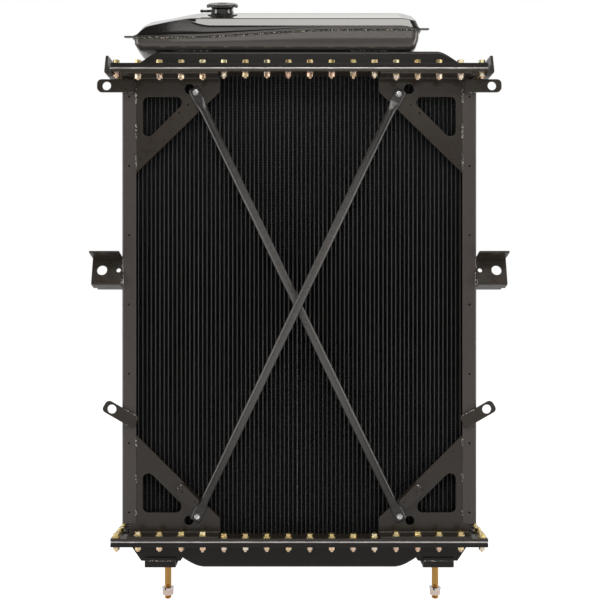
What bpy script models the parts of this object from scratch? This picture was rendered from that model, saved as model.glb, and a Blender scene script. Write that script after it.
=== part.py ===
"""Heavy-duty truck radiator: bolted core and tanks, steel side frame with corner gussets and
cross braces, foot studs, and a pressed surge tank with its pressure cap.

Every size is in millimetres and goes through MM. X is to the right seen from the front, Y runs
to the rear and Z up. The origin is midway between the two foot pads, on their undersides.
"""

import math

import bmesh
import bpy
from mathutils import Matrix, Vector

MM = 0.001
GAP = 0.3  # clearance between pieces that touch
SIDES = {"left": -1, "right": 1}

# Bolted joint of header plates, gaskets, tank flanges and backing rings
BOLT_PITCH = 50.8
LONG_ROW = 18
SHORT_ROW = 4
BOLT_FLATS = 14.3
FLANGE_X, FLANGE_Y = 444.5, 89.0
FLANGE_T, RING_T, HEADER_T, JOINT_T = 8.0, 6.0, 3.0, 3.0
NUT_H, HEAD_H, LOCK_WASHER_T = 8.3, 6.4, 2.0
LOW_HEADER_TOP = 68.0
CORE_SPAN = 1111.0

LOW_HEADER = (LOW_HEADER_TOP - HEADER_T, LOW_HEADER_TOP)
HIGH_HEADER = (LOW_HEADER_TOP + CORE_SPAN, LOW_HEADER_TOP + CORE_SPAN + HEADER_T)
LOW_FLANGE = (LOW_HEADER[0] - JOINT_T - FLANGE_T, LOW_HEADER[0] - JOINT_T)
HIGH_FLANGE = (HIGH_HEADER[1] + JOINT_T, HIGH_HEADER[1] + JOINT_T + FLANGE_T)
LOW_RING = (LOW_HEADER[1] + GAP, LOW_HEADER[1] + GAP + RING_T)
HIGH_RING = (HIGH_HEADER[0] - GAP - RING_T, HIGH_HEADER[0] - GAP)
WINDOW_X, WINDOW_Y = 421.0, 46.0

# Core
TUBE_PITCH, TUBE_COUNT, TUBE_W = 10.35, 80, 2.0
TUBE_HALF_DEPTH = 33.0
FIN_X, FIN_Y = 416.0, 36.0

# Tanks
TANK_Y, TANK_WALL = 58.0, 3.0
HIGH_TANK_TOP, HIGH_TANK_FLAT, HIGH_TANK_END = 1230.0, 328.0, 410.0
LOW_TANK_FLOOR, LOW_TANK_FLAT, LOW_TANK_END = -2.5, 226.0, 350.0
TANK_EDGE_R = 4.0
NECK_R, NECK_WALL, NECK_END_Y = 25.4, 2.2, 150.0
INLET_X, OUTLET_X = -152.4, 152.4

# Side frame
FRAME_X, FRAME_Y, CHANNEL_FLANGE, CHANNEL_T = 425.0, 48.0, 34.0, 4.0
CHANNEL_Z = (99.5, 1160.0)
CHANNEL_HOLES, CHANNEL_HOLE_Z, CHANNEL_HOLE_PITCH = 7, 126.4, 166.07
GUSSET_T, GUSSET_BEND = 4.4, 7.4
GUSSET_OUT, GUSSET_IN, GUSSET_SEAM = 407.0, 190.5, 390.6
HIGH_GUSSET_TIP, LOW_GUSSET_TIP = 940.0, 312.0
HIGH_GUSSET_TOE, LOW_GUSSET_TOE = 1134.8, 113.2
GUSSET_BOLTS = (4, 5, 6, 7)  # bolts counted out from the middle that clamp a gusset

# Cross braces
BRACE_ENDS = {
    "top_left": (-247.7, 1130.7), "top_right": (237.6, 1126.5),
    "bottom_left": (-243.8, 119.0), "bottom_right": (239.3, 119.0),
}
BRACE_W, BRACE_DEPTH, BRACE_TAB_W, BRACE_TAB_T = 20.0, 14.0, 25.0, 4.0
BRACE_BACK_Y = -FRAME_Y - 0.5
BRACE_HOLE_R = 4.6

# Mounting tabs, brackets and feet
TAB_T, TAB_W, TAB_HOLE_R = 6.0, 30.7, 10.5
BRACKET_TILT = math.radians(17)
BRACKET_T, BRACKET_LIP, BRACKET_WEB = 4.5, 41.0, 70.0
STUD_X = {"left": -321.5, "right": 332.5}
STUD_R, STUD_LOW = 7.94, -94.0
FOOT_T = 4.5

# Surge tank, filler neck and pressure cap
SURGE_LEFT, SURGE_RIGHT, SURGE_Y = -396.0, 288.0, 62.0
SEAM_LIP, EAR, SURGE_WALL = 3.5, 21.0, 2.4
SURGE_FLOOR = 1233.2
CREASE_Z, RIDGE_Z, CREASE_Y, RIDGE_Y = 1307.5, 1358.4, -58.0, 58.0
CROWN_SLOPE = math.atan((RIDGE_Z - CREASE_Z) / (RIDGE_Y - CREASE_Y))
NECK_X, NECK_Y = -188.8, 10.0
NECK_Z = CREASE_Z + (NECK_Y - CREASE_Y) * math.tan(CROWN_SLOPE)  # the crown there
NECK_WALL_R = 27.0
SEAT_Z, CAP_LOW, CAP_TOP, CAP_ROOF_T = NECK_Z - 3.0, NECK_Z + 19.8, NECK_Z + 26.5, 2.6


def collection(name):
    made = bpy.data.collections.new(name)
    bpy.context.scene.collection.children.link(made)
    return made


def material(name, colour, roughness, metallic=0.0):
    made = bpy.data.materials.new(name)
    made.use_nodes = True
    shader = made.node_tree.nodes["Principled BSDF"]
    shader.inputs["Base Color"].default_value = (*colour, 1.0)
    shader.inputs["Roughness"].default_value = roughness
    shader.inputs["Metallic"].default_value = metallic
    return made


# Meshes from primitives, outlines and turned profiles


def new_object(name, mesh, finish=None, helper=False):
    made = bpy.data.objects.new(name, mesh)
    if finish:
        made.data.materials.append(finish)
    (CUTTERS if helper else PARTS).objects.link(made)
    if helper:
        made.hide_render = True
        made.display_type = "WIRE"
    return made


def as_mesh(source, name, finish=None, helper=False):
    """The evaluated source as a new mesh object in the same place, with its caps welded."""
    bpy.context.view_layer.update()
    evaluated = source.evaluated_get(bpy.context.evaluated_depsgraph_get())
    mesh = bpy.data.meshes.new_from_object(evaluated)
    mesh.transform(source.matrix_world)
    bm = bmesh.new()
    bm.from_mesh(mesh)
    bmesh.ops.remove_doubles(bm, verts=bm.verts, dist=0.00001)
    bmesh.ops.recalc_face_normals(bm, faces=bm.faces)
    bm.to_mesh(mesh)
    bm.free()
    mesh.materials.clear()
    data = source.data
    bpy.data.objects.remove(source)
    if isinstance(data, bpy.types.Curve):
        bpy.data.curves.remove(data)
    mesh.name = name
    return new_object(name, mesh, finish, helper)


def bm_object(name, bm, finish=None, helper=False):
    mesh = bpy.data.meshes.new(name)
    bm.to_mesh(mesh)
    bm.free()
    return new_object(name, mesh, finish, helper)


def add_block(bm, x, y, z):
    """A box between the given (low, high) pairs."""
    size = Vector((x[1] - x[0], y[1] - y[0], z[1] - z[0])) * MM
    middle = Vector((x[0] + x[1], y[0] + y[1], z[0] + z[1])) * MM / 2
    place = Matrix.Translation(middle) @ Matrix.Diagonal((*size, 1.0))
    bmesh.ops.create_cube(bm, size=1.0, matrix=place)


def blocks(name, boxes, finish=None, helper=False):
    bm = bmesh.new()
    for box in boxes:
        add_block(bm, *box)
    return bm_object(name, bm, finish, helper)


def add_rod(bm, start, end, radius, segments=16):
    """A cylinder, or a hexagon where segments is 6, from start to end."""
    start, end = Vector(start) * MM, Vector(end) * MM
    along = end - start
    turn = along.to_track_quat("Z", "Y").to_matrix().to_4x4()
    place = Matrix.Translation((start + end) / 2) @ turn
    bmesh.ops.create_cone(
        bm, cap_ends=True, segments=segments, radius1=radius * MM, radius2=radius * MM,
        depth=along.length, matrix=place,
    )


def rods(name, pieces, finish=None, helper=False):
    bm = bmesh.new()
    for piece in pieces:
        add_rod(bm, *piece)
    return bm_object(name, bm, finish, helper)


def hexes(places, low, high, flats=BOLT_FLATS):
    """Hexagons standing on Z for bolt heads or nuts, as rods() takes them."""
    radius = flats / math.sqrt(3)
    return [((x, y, low), (x, y, high), radius, 6) for x, y in places]


def rounded(corners, steps=5):
    """An outline from (x, y, radius) corners, each rounded by an arc."""
    points = []
    for i, (x, y, radius) in enumerate(corners):
        here = Vector((x, y))
        if radius == 0:
            points.append((x, y))
            continue
        before = (Vector(corners[i - 1][:2]) - here).normalized()
        after = (Vector(corners[(i + 1) % len(corners)][:2]) - here).normalized()
        half = before.angle(after) / 2
        middle = here + (before + after).normalized() * (radius / math.sin(half))
        start = here + before * (radius / math.tan(half)) - middle
        end = here + after * (radius / math.tan(half)) - middle
        sweep = math.atan2(start.x * end.y - start.y * end.x, start.dot(end))
        for step in range(steps + 1):
            turn = Matrix.Rotation(sweep * step / steps, 2)
            points.append(tuple(middle + turn @ start))
    return points


def circle(x, y, radius, count=16):
    turn = 2 * math.pi / count
    return [(x + radius * math.cos(turn * i), y + radius * math.sin(turn * i)) for i in range(count)]


def rectangle(x, y, radius=0.0):
    return rounded([(-x, -y, radius), (x, -y, radius), (x, y, radius), (-x, y, radius)], 4)


# An outline's own plane, stood up so that it is extruded along the named axis
STAND = {
    "z": Matrix.Identity(4),
    "y": Matrix(((1, 0, 0, 0), (0, 0, -1, 0), (0, 1, 0, 0), (0, 0, 0, 1))),
    "x": Matrix(((0, 0, 1, 0), (1, 0, 0, 0), (0, 1, 0, 0), (0, 0, 0, 1))),
}


def plate(name, loops, axis, low, high, finish=None, helper=False):
    """A flat plate from closed outlines, the first the edge and the others its holes.

    Outlines are in (x, z) for axis y, (y, z) for axis x and (x, y) for axis z.
    """
    curve = bpy.data.curves.new(name, "CURVE")
    curve.dimensions = "2D"
    curve.fill_mode = "BOTH"
    curve.extrude = (high - low) / 2 * MM
    for loop in loops:
        spline = curve.splines.new("POLY")
        spline.points.add(len(loop) - 1)
        for point, (u, v) in zip(spline.points, loop):
            point.co = (u * MM, v * MM, 0.0, 1.0)
        spline.use_cyclic_u = True
    source = bpy.data.objects.new(name, curve)
    source.matrix_world = STAND[axis].copy()
    setattr(source.location, axis, (low + high) / 2 * MM)
    PARTS.objects.link(source)
    return as_mesh(source, name, finish, helper)


def turned(name, profile, centre, finish, axis="z", steps=32, helper=False):
    """A closed (radius, height) profile turned about an axis through centre."""
    bm = bmesh.new()
    points = [bm.verts.new((radius * MM, 0.0, height * MM)) for radius, height in profile]
    for a, b in zip(points, points[1:] + points[:1]):
        if max(a.co.x, b.co.x) > 0:
            bm.edges.new((a, b))
    source = bm_object(name, bm, None)
    screw = source.modifiers.new("turn", "SCREW")
    screw.steps = screw.render_steps = steps
    screw.use_merge_vertices = True
    screw.merge_threshold = 0.00001
    if axis == "y":
        source.rotation_euler = (-math.pi / 2, 0.0, 0.0)
    source.location = Vector(centre) * MM
    return as_mesh(source, name, finish, helper)


def boolean(target, other, operation):
    step = target.modifiers.new(other.name, "BOOLEAN")
    step.object = other
    step.operation = operation


def cut(target, other):
    boolean(target, other, "DIFFERENCE")


def join(target, other):
    boolean(target, other, "UNION")


def shade_round(made, degrees=40):
    made.data.shade_smooth()
    made.data.set_sharp_from_angle(angle=math.radians(degrees))


# Bolted joint


def bolt_x(number):
    """X of a long row's bolt, counted out from the middle: 0 is the first to the right."""
    return (number + 0.5) * BOLT_PITCH


def bolt_places():
    """(x, y) of the flange's bolts, split into those that clamp a gusset and the others."""
    edge_y = (SHORT_ROW - 1) / 2 * BOLT_PITCH
    on_gusset, on_ring = [], []
    for number in range(LONG_ROW // 2):
        for side in (-1, 1):
            x = side * bolt_x(number)
            on_ring.append((x, edge_y))
            (on_gusset if number in GUSSET_BOLTS else on_ring).append((x, -edge_y))
    for side in (-1, 1):
        for y in (-BOLT_PITCH / 2, BOLT_PITCH / 2):
            on_ring.append((side * bolt_x(LONG_ROW // 2 - 1), y))
    return on_gusset, on_ring


def build_core():
    """Flat tubes soldered into both header plates, through slots in one block of fins."""
    lift = 1.5
    sheet_x, sheet_y = FLANGE_X - GAP, FLANGE_Y - GAP
    core = blocks("core_tubes", [((-sheet_x, sheet_x), (-sheet_y, sheet_y), LOW_HEADER)], BRASS)
    places = [(i - (TUBE_COUNT - 1) / 2) * TUBE_PITCH for i in range(TUBE_COUNT)]
    deep, half = (-TUBE_HALF_DEPTH, TUBE_HALF_DEPTH), TUBE_W / 2
    z = (LOW_HEADER[1] - lift, HIGH_HEADER[0] + lift)
    join(core, blocks("tube_row", [((x - half, x + half), deep, z) for x in places], helper=True))
    top = [((-sheet_x, sheet_x), (-sheet_y, sheet_y), HIGH_HEADER)]
    join(core, blocks("top_header", top, helper=True))

    slot = rectangle(half + GAP, TUBE_HALF_DEPTH + GAP)
    slots = [[(x + u, v) for u, v in slot] for x in places]
    plate("fin_block", [rectangle(FIN_X, FIN_Y)] + slots, "z", LOW_HEADER[1] + 2,
          HIGH_HEADER[0] - 2, COPPER)


def build_flanges():
    edge = rectangle(FLANGE_X, FLANGE_Y)
    tank_window = rectangle(HIGH_TANK_END - 30, TANK_Y - 8, 10)
    low_window = rectangle(LOW_TANK_END - 30, TANK_Y - 8, 10)
    on_gusset, on_ring = bolt_places()
    every = on_gusset + on_ring
    sink = 0.5

    plate("top_gasket", [rectangle(FLANGE_X - 0.6, FLANGE_Y - 0.6), tank_window], "z",
          HIGH_HEADER[1] + GAP, HIGH_FLANGE[0] - GAP, RUBBER)
    plate("bottom_gasket", [rectangle(FLANGE_X - 0.6, FLANGE_Y - 0.6), low_window], "z",
          LOW_FLANGE[1] + GAP, LOW_HEADER[0] - GAP, RUBBER)

    top = plate("top_tank_flange", [edge, tank_window], "z", *HIGH_FLANGE, BLACK)
    join(top, rods("top_heads", hexes(every, HIGH_FLANGE[1] - sink, HIGH_FLANGE[1] + HEAD_H),
                   helper=True))
    low = plate("bottom_tank_flange", [edge, low_window], "z", *LOW_FLANGE, BLACK)
    nut_low = LOW_FLANGE[0] - LOCK_WASHER_T - NUT_H
    join(low, rods("bottom_nuts", hexes(every, nut_low, LOW_FLANGE[0] + sink), helper=True))

    window = rectangle(WINDOW_X, WINDOW_Y, 3)
    ring = plate("top_backing_ring", [edge, window], "z", *HIGH_RING, BLACK)
    nut_low = HIGH_RING[0] - LOCK_WASHER_T - NUT_H
    join(ring, rods("top_nuts", hexes(on_ring, nut_low, HIGH_RING[0] + sink), helper=True))
    ring = plate("bottom_backing_ring", [edge, window], "z", *LOW_RING, BLACK)
    head_top = LOW_RING[1] + 1.5 + HEAD_H
    join(ring, rods("bottom_heads", hexes(on_ring, LOW_RING[1] - sink, head_top), helper=True))


# Tanks


def smooth_step(t):
    t = min(1.0, max(0.0, t))
    return t * t * (3 - 2 * t)


def tank_outline(flat, end, crown, rim, inset=0.0, steps=8):
    """Half a tank's side view mirrored: flat crown, then a soft S down to the rim at each end."""
    toward = 1 if crown > rim else -1
    crown -= toward * inset
    right = []
    for i in range(steps + 1):
        x = flat + (end - flat) * i / steps
        right.append((x - inset, crown + (rim - crown) * smooth_step(i / steps)))
    right[-1] = (end - inset, rim - toward * (1.0 if inset else 0.0))
    return right + [(-x, z) for x, z in reversed(right)]


def round_long_edges(made, crown_z, radius):
    """Rounds the two long edges where the crown and the ends meet the front and rear walls."""
    bm = bmesh.new()
    bm.from_mesh(made.data)
    bmesh.ops.dissolve_limit(bm, angle_limit=math.radians(1), verts=bm.verts, edges=bm.edges)
    chosen = []
    for edge in bm.edges:
        a, b = (v.co for v in edge.verts)
        along = abs(a.y - b.y) < 0.001
        near = min(abs(a.z / MM - crown_z), abs(b.z / MM - crown_z)) < 30
        if along and near and abs(a.x - b.x) > 0.0005 and edge.calc_face_angle() > 1.0:
            chosen.append(edge)
    bmesh.ops.bevel(bm, geom=chosen, offset=radius * MM, offset_type="OFFSET", segments=3,
                    profile=0.5, affect="EDGES")
    bm.to_mesh(made.data)
    bm.free()


def build_tank(name, flat, end, crown, rim, port):
    shell = plate(name, [tank_outline(flat, end, crown, rim)], "y", -TANK_Y, TANK_Y, BLACK)
    round_long_edges(shell, crown, TANK_EDGE_R)
    inner = TANK_Y - TANK_WALL
    hollow = tank_outline(flat, end, crown, rim, TANK_WALL)
    cut(shell, plate(name + "_inside", [hollow], "y", -inner, inner, helper=True))
    x, z, half_x, half_z = port
    opening = rounded([(x - half_x, z - half_z, half_z - 1), (x + half_x, z - half_z, half_z - 1),
                       (x + half_x, z + half_z, half_z - 1), (x - half_x, z + half_z, half_z - 1)])
    cut(shell, plate(name + "_port", [opening], "y", inner - 2, TANK_Y + 4, helper=True))
    shade_round(shell, 30)
    return shell


def loft(name, rings, finish, closed_ends=True):
    """A surface through rings of equal point counts; closed_ends caps the first and last."""
    bm = bmesh.new()
    loops = [[bm.verts.new(Vector(point) * MM) for point in ring] for ring in rings]
    for low, high in zip(loops, loops[1:]):
        count = len(low)
        for i in range(count):
            j = (i + 1) % count
            bm.faces.new((low[i], low[j], high[j], high[i]))
    if closed_ends:
        bm.faces.new(loops[0][::-1])
        bm.faces.new(loops[-1])
    bmesh.ops.recalc_face_normals(bm, faces=bm.faces)
    return bm_object(name, bm, finish)


def formed_neck(name, x, stations):
    """A hose neck that starts flat and wide at the tank wall and ends round, with a bead."""
    count = 14

    def ring(y, z, half_x, half_z, inset):
        return [(x + (half_x - inset) * math.cos(2 * math.pi * i / count), y,
                 z + (half_z - inset) * math.sin(2 * math.pi * i / count)) for i in range(count)]

    outside = [ring(*station, 0.0) for station in stations]
    inside = [ring(*station, NECK_WALL) for station in stations]
    neck = loft(name, outside + inside[::-1] + outside[:1], BLACK, closed_ends=False)
    bm = bmesh.new()
    bm.from_mesh(neck.data)
    bmesh.ops.remove_doubles(bm, verts=bm.verts, dist=0.00001)
    bmesh.ops.recalc_face_normals(bm, faces=bm.faces)
    bm.to_mesh(neck.data)
    bm.free()
    shade_round(neck)


def neck_stations(wall_z, wall_half, mid, end_z):
    """(y, z, half width, half height) along a hose neck from the tank's rear wall."""
    wall_y = TANK_Y + GAP
    return [(wall_y, wall_z, 34, wall_half), (mid[0], mid[1], 33, mid[2]),
            (mid[0] + 17, (mid[1] + end_z) / 2, 29, 20), (112, end_z, NECK_R, NECK_R),
            (136, end_z, NECK_R, NECK_R), (139, end_z, NECK_R + 1.6, NECK_R + 1.6),
            (142, end_z, NECK_R, NECK_R), (NECK_END_Y, end_z, NECK_R, NECK_R)]


def build_tanks():
    build_tank("top_tank_shell", HIGH_TANK_FLAT, HIGH_TANK_END, HIGH_TANK_TOP,
               HIGH_FLANGE[1] + GAP, (INLET_X, 1214.0, 31.5, 10.5))
    build_tank("bottom_tank_shell", LOW_TANK_FLAT, LOW_TANK_END, LOW_TANK_FLOOR,
               LOW_FLANGE[0] - GAP, (OUTLET_X, 22.0, 31.5, 12.0))
    formed_neck("inlet_neck", INLET_X, neck_stations(1214.0, 12.8, (68, 1218.5, 15.2), 1236.0))
    formed_neck("outlet_neck", OUTLET_X, neck_stations(22.0, 14.2, (68, 18.0, 15.5), 1.0))
    build_drain_cock()
    nipple("tank_vent_nipple", (240.0, TANK_Y + GAP, 1216.0), (240.0, 92.0, 1216.0))


def nipple(name, start, end, radius=3.2, bore=1.8):
    """A small hose nipple with a bead near its outer end."""
    start, end = Vector(start), Vector(end)
    length = (end - start).length
    profile = [(bore, 0), (bore, length), (radius, length), (radius, length - 3),
               (radius + 0.8, length - 4), (radius + 0.8, length - 5), (radius, length - 6),
               (radius, 0)]
    made = turned(name, profile, (0, 0, 0), BLACK, steps=8)
    turn = (end - start).to_track_quat("Z", "Y").to_matrix().to_4x4()
    made.data.transform(Matrix.Translation(start * MM) @ turn)
    shade_round(made)


def build_drain_cock():
    x, z = -152.4, 20.0
    wall = TANK_Y + GAP
    body = rods("drain_cock_body", [((x, wall, z), (x, wall + 9, z), 11.0, 6)], BRASS_PLAIN)
    join(body, rods("drain_barrel", [((x, wall + 8, z), (x, wall + 25, z), 7.5, 16)], helper=True))
    join(body, rods("drain_spout", [((x, wall + 17, z - 3), (x, wall + 17, z - 18), 3.6, 12)],
                    helper=True))
    cut(body, rods("drain_bore", [((x, wall + 4, z), (x, wall + 26, z), 4.4, 16)], helper=True))
    cut(body, rods("spout_bore", [((x, wall + 17, z), (x, wall + 17, z - 19), 2.0, 10)],
                   helper=True))
    handle = rods("drain_cock_handle", [((x, wall + 5, z), (x, wall + 31, z), 4.0, 16)],
                  BRASS_PLAIN)
    bar = ((x - 15, x + 15), (wall + 26, wall + 32), (z - 3, z + 3))
    join(handle, blocks("drain_bar", [bar], helper=True))
    drain_way = rods("drain_way", [((x, wall + 17, z - 5), (x, wall + 17, z + 5), 1.5, 10)],
                     helper=True)
    cut(handle, drain_way)


# Side frame


def build_channel(side, sign):
    out, flange = FRAME_X, FRAME_X - CHANNEL_FLANGE
    y, t = FRAME_Y, CHANNEL_T
    corners = [(flange, -y, 0), (out, -y, 5), (out, y, 5), (flange, y, 0), (flange, y - t, 0),
               (out - t, y - t, 1), (out - t, -y + t, 1), (flange, -y + t, 0)]
    outline = [(sign * u, v) for u, v in rounded(corners, 3)]
    name = "side_channel_" + side
    channel = plate(name, [outline], "z", *CHANNEL_Z, BLACK)
    x = sign * 407.8
    heights = [CHANNEL_HOLE_Z + i * CHANNEL_HOLE_PITCH for i in range(CHANNEL_HOLES)]
    holes = [((x, -y - 2, z), (x, -y + t + 2, z), 2.6, 8) for z in heights]
    cut(channel, rods(name + "_holes", holes, helper=True))
    shade_round(channel, 30)


def gusset_profile(top):
    """(y, z) section of a bent gusset plate: an upright with a flange turned to the front."""
    z, t, bend = (HIGH_RING[0] - GAP, GUSSET_T, GUSSET_BEND)
    corners = [(-88.5, z, 0), (-FRAME_Y + t, z, bend), (-FRAME_Y + t, z - 240, 0),
               (-FRAME_Y, z - 240, 0), (-FRAME_Y, z - t, bend - t), (-88.5, z - t, 0)]
    if not top:
        middle = HIGH_RING[0] - GAP + LOW_RING[1] + GAP
        corners = [(y, middle - height, radius) for y, height, radius in corners]
    return rounded(corners, 4)


def build_gusset(level, side, sign):
    top = level == "top"
    name = f"gusset_{level}_{side}"
    gusset = plate(name, [gusset_profile(top)], "x", *sorted((sign * GUSSET_OUT, sign * GUSSET_IN)),
                   BLACK)
    if top:
        edge = [(-410, 1190), (-410, 1160.4), (-GUSSET_SEAM, 1160.4), (-GUSSET_SEAM, 940.0),
                (-387.7, 942.9), (-GUSSET_IN - 0.2, HIGH_GUSSET_TOE), (-185, HIGH_GUSSET_TOE),
                (-185, 1190)]
        leg = [(-375.0, 1122.0, 13), (-262.0, 1122.0, 13), (-375.0, 1009.0, 13)]
        hole = circle(-262.6, 1141.3, 12)
        dimples = [circle(-266.7, 1102.7, 2, 8), circle(-288.2, 1083.5, 2, 8)]
    else:
        edge = [(-410, 60), (-410, 99.1), (-GUSSET_SEAM, 99.1), (-GUSSET_SEAM, LOW_GUSSET_TIP),
                (-GUSSET_IN - 0.2, LOW_GUSSET_TOE), (-185, LOW_GUSSET_TOE), (-185, 60)]
        leg = [(-375.5, 126.3, 14), (-262.0, 126.3, 14), (-375.5, 240.0, 14)]
        hole = circle(-264.8, 107.0, 10.8)
        dimples = []
    loops = [edge, rounded(leg, 5), hole] + dimples
    loops = [[(-sign * x, z) for x, z in loop] for loop in loops]
    mask = plate(name + "_outline", loops, "y", -95, -40, helper=True)
    boolean(gusset, mask, "INTERSECT")
    x, z = BRACE_ENDS[f"{level}_{side}"]
    cut(gusset, rods(name + "_bolt_hole", [((x, -52, z), (x, -40, z), BRACE_HOLE_R, 12)],
                     helper=True))
    places = [(sign * bolt_x(i), -BOLT_PITCH * 1.5) for i in GUSSET_BOLTS]
    if top:
        under = HIGH_RING[0] - GAP - GUSSET_T
        fasteners = hexes(places, under - LOCK_WASHER_T - NUT_H, under + 0.5)
    else:
        over = LOW_RING[1] + GAP + GUSSET_T
        fasteners = hexes(places, over - 0.5, over + 1.5 + HEAD_H)
    join(gusset, rods(name + "_fasteners", fasteners, helper=True))


def brace_ring(along, width, depth, y, power):
    """One cross section of a brace in its own (across, y, along) directions."""
    count = 10
    ring = []
    for i in range(count):
        angle = 2 * math.pi * (i + 0.5) / count
        c, s = math.cos(angle), math.sin(angle)
        across = width / 2 * math.copysign(abs(c) ** (2 / power), c)
        deep = depth / 2 * math.copysign(abs(s) ** (2 / power), s)
        ring.append((across, y + deep, along))
    return ring


def build_brace(name, low_end, high_end, bow):
    """A round tube with ends pressed flat, between two of the brace's bolts.

    bow is how far its middle stands to the rear of its ends.
    """
    low, high = (Vector((x, 0, z)) for x, z in (BRACE_ENDS[low_end], BRACE_ENDS[high_end]))
    length = (high - low).length
    tab_y = BRACE_BACK_Y - BRACE_TAB_T / 2
    tube_y = BRACE_BACK_Y - BRACE_DEPTH / 2
    half = [(-14, 15, BRACE_TAB_T, tab_y, 8), (-9, BRACE_TAB_W, BRACE_TAB_T, tab_y, 8),
            (16, BRACE_TAB_W, BRACE_TAB_T, tab_y, 8), (27, 23.5, 8, BRACE_BACK_Y - 4, 4),
            (38, 21, 12.5, BRACE_BACK_Y - 6.3, 2.3)]
    stations = list(half)
    middle = [length * share for share in (0.06, 0.25, 0.4, 0.5, 0.6, 0.75, 0.94)]
    for along in middle:
        sway = bow * math.sin(math.pi * along / length) ** 2
        stations.append((along, BRACE_W, BRACE_DEPTH, tube_y + sway, 2))
    stations += [(length - along, *rest) for along, *rest in reversed(half)]
    brace = loft(name, [brace_ring(*station) for station in stations], BLACK)
    turn = math.atan2(high.x - low.x, high.z - low.z)
    place = Matrix.Translation(low * MM) @ Matrix.Rotation(turn, 4, "Y")
    brace.data.transform(place)
    holes = [((end.x, -60, end.z), (end.x, -40, end.z), BRACE_HOLE_R, 12) for end in (low, high)]
    cut(brace, rods(name + "_holes", holes, helper=True))
    shade_round(brace)


def build_brace_fasteners():
    face = BRACE_BACK_Y - BRACE_TAB_T - GAP
    back = -FRAME_Y + GUSSET_T + GAP
    radius = BOLT_FLATS / math.sqrt(3)
    for corner, (x, z) in BRACE_ENDS.items():
        bolt = rods("brace_bolt_" + corner, [((x, face - 6.4, z), (x, face, z), radius, 6)], ZINC)
        join(bolt, rods(bolt.name + "_shank", [((x, face - 1, z), (x, back + 5.2, z), 4.0, 12)],
                        helper=True))
        nut = rods("brace_nut_" + corner, [((x, back, z), (x, back + 5.5, z), radius, 6)], ZINC)
        cut(nut, rods(nut.name + "_bore", [((x, back - 1, z), (x, back + 7, z), 4.4, 12)],
                      helper=True))


def build_clip(side, sign):
    """A small raised cover over the lower gusset's strip: a plate with a wall on its low side."""
    name = "lower_clip_" + side
    half_u, half_v, front, back = 29.0, 14.0, -66.0, -FRAME_Y - GAP
    top = rounded([(-half_u, -half_v, 2), (half_u - 9, -half_v, 2), (half_u, -half_v + 10, 2),
                   (half_u, half_v - 3, 2), (half_u - 5, half_v, 2), (-half_u, half_v, 2)], 2)
    slope = math.radians(-45.5)
    centre = Vector((266.0, 167.5))

    def placed(points):
        made = []
        for u, v in points:
            x = u * math.cos(slope) - v * math.sin(slope)
            z = u * math.sin(slope) + v * math.cos(slope)
            made.append((sign * (centre.x - x), centre.y + z))
        return made

    clip = plate(name, [placed(top), placed(circle(half_u - 8, 4, 1.8, 8)),
                        placed(circle(-half_u + 12, 0, 1.8, 8))], "y", front, front + 4, BLACK)
    wall = [(-half_u, -half_v), (half_u - 9, -half_v), (half_u, -half_v + 10),
            (half_u - 4, -half_v + 10), (half_u - 11, -half_v + 4), (-half_u, -half_v + 4)]
    join(clip, plate(name + "_wall", [placed(wall)], "y", front + 0.5, back, helper=True))


# Tabs, brackets, feet and end plates


def build_tabs(side, sign):
    face = -FRAME_Y - GAP
    z_mid = 1147.7
    corners = [(396, z_mid - TAB_W / 2, 2), (483.3, z_mid - TAB_W / 2, 11),
               (483.3, z_mid + TAB_W / 2, 11), (396, z_mid + TAB_W / 2, 2)]
    outline = [(sign * x, z) for x, z in rounded(corners)]
    plate("top_mount_tab_" + side, [outline, circle(sign * 460.4, z_mid - 0.4, TAB_HOLE_R, 24)],
          "y", face - TAB_T, face, BLACK)

    length, slope = 86.5, math.radians(-30)
    tip = Vector((465.7, 385.0))
    strap = rounded([(0, -15, 10), (length, -15, 1), (length, 15, 1), (0, 15, 10)])

    def placed(points):
        return [(sign * (tip.x - u * math.cos(slope) + v * math.sin(slope)),
                 tip.y + u * math.sin(slope) + v * math.cos(slope)) for u, v in points]

    plate("lower_mount_tab_" + side, [placed(strap), placed(circle(20.5, 0, TAB_HOLE_R + 0.4, 24))],
          "y", face - TAB_T, face, BLACK)


def build_side_bracket(side, sign):
    t, lip, web = BRACKET_T, BRACKET_LIP, BRACKET_WEB
    section = [(lip, 0, 0), (-t, 0, 4.5), (-t, -web + t, 0.5), (-lip, -web + t, 0),
               (-lip, -web, 0), (0, -web, 4.5), (0, -t, 0.5), (lip, -t, 0)]
    forward = Vector((-math.cos(BRACKET_TILT), math.sin(BRACKET_TILT)))
    upward = Vector((math.sin(BRACKET_TILT), math.cos(BRACKET_TILT)))
    origin = Vector((-41.0, 739.5))
    outline = [tuple(origin + forward * a + upward * b) for a, b in rounded(section, 3)]
    name = "side_bracket_" + side
    x = sorted((sign * (FRAME_X + GAP), sign * 496.0))
    bracket = plate(name, [outline], "x", *x, BLACK)
    holes = []
    for hole_x, radius, count in ((472.0, 12.2, 24), (432.5, 5.4, 14)):
        middle = origin - upward * 34
        front, back = middle + forward * 12, middle - forward * 12
        holes.append(((sign * hole_x, *front), (sign * hole_x, *back), radius, count))
    cut(bracket, rods(name + "_holes", holes, helper=True))
    low, high = -lip - 2, -lip + 12
    spots = [(low, -web - 3), (high, -web - 3), (high, -web + t + 2), (low, -web + t + 2)]
    corner = [tuple(origin + forward * a + upward * b) for a, b in spots]
    notch = plate(name + "_corner", [corner], "x", *sorted((sign * 488.0, sign * 500.0)),
                  helper=True)
    cut(bracket, notch)


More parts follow.
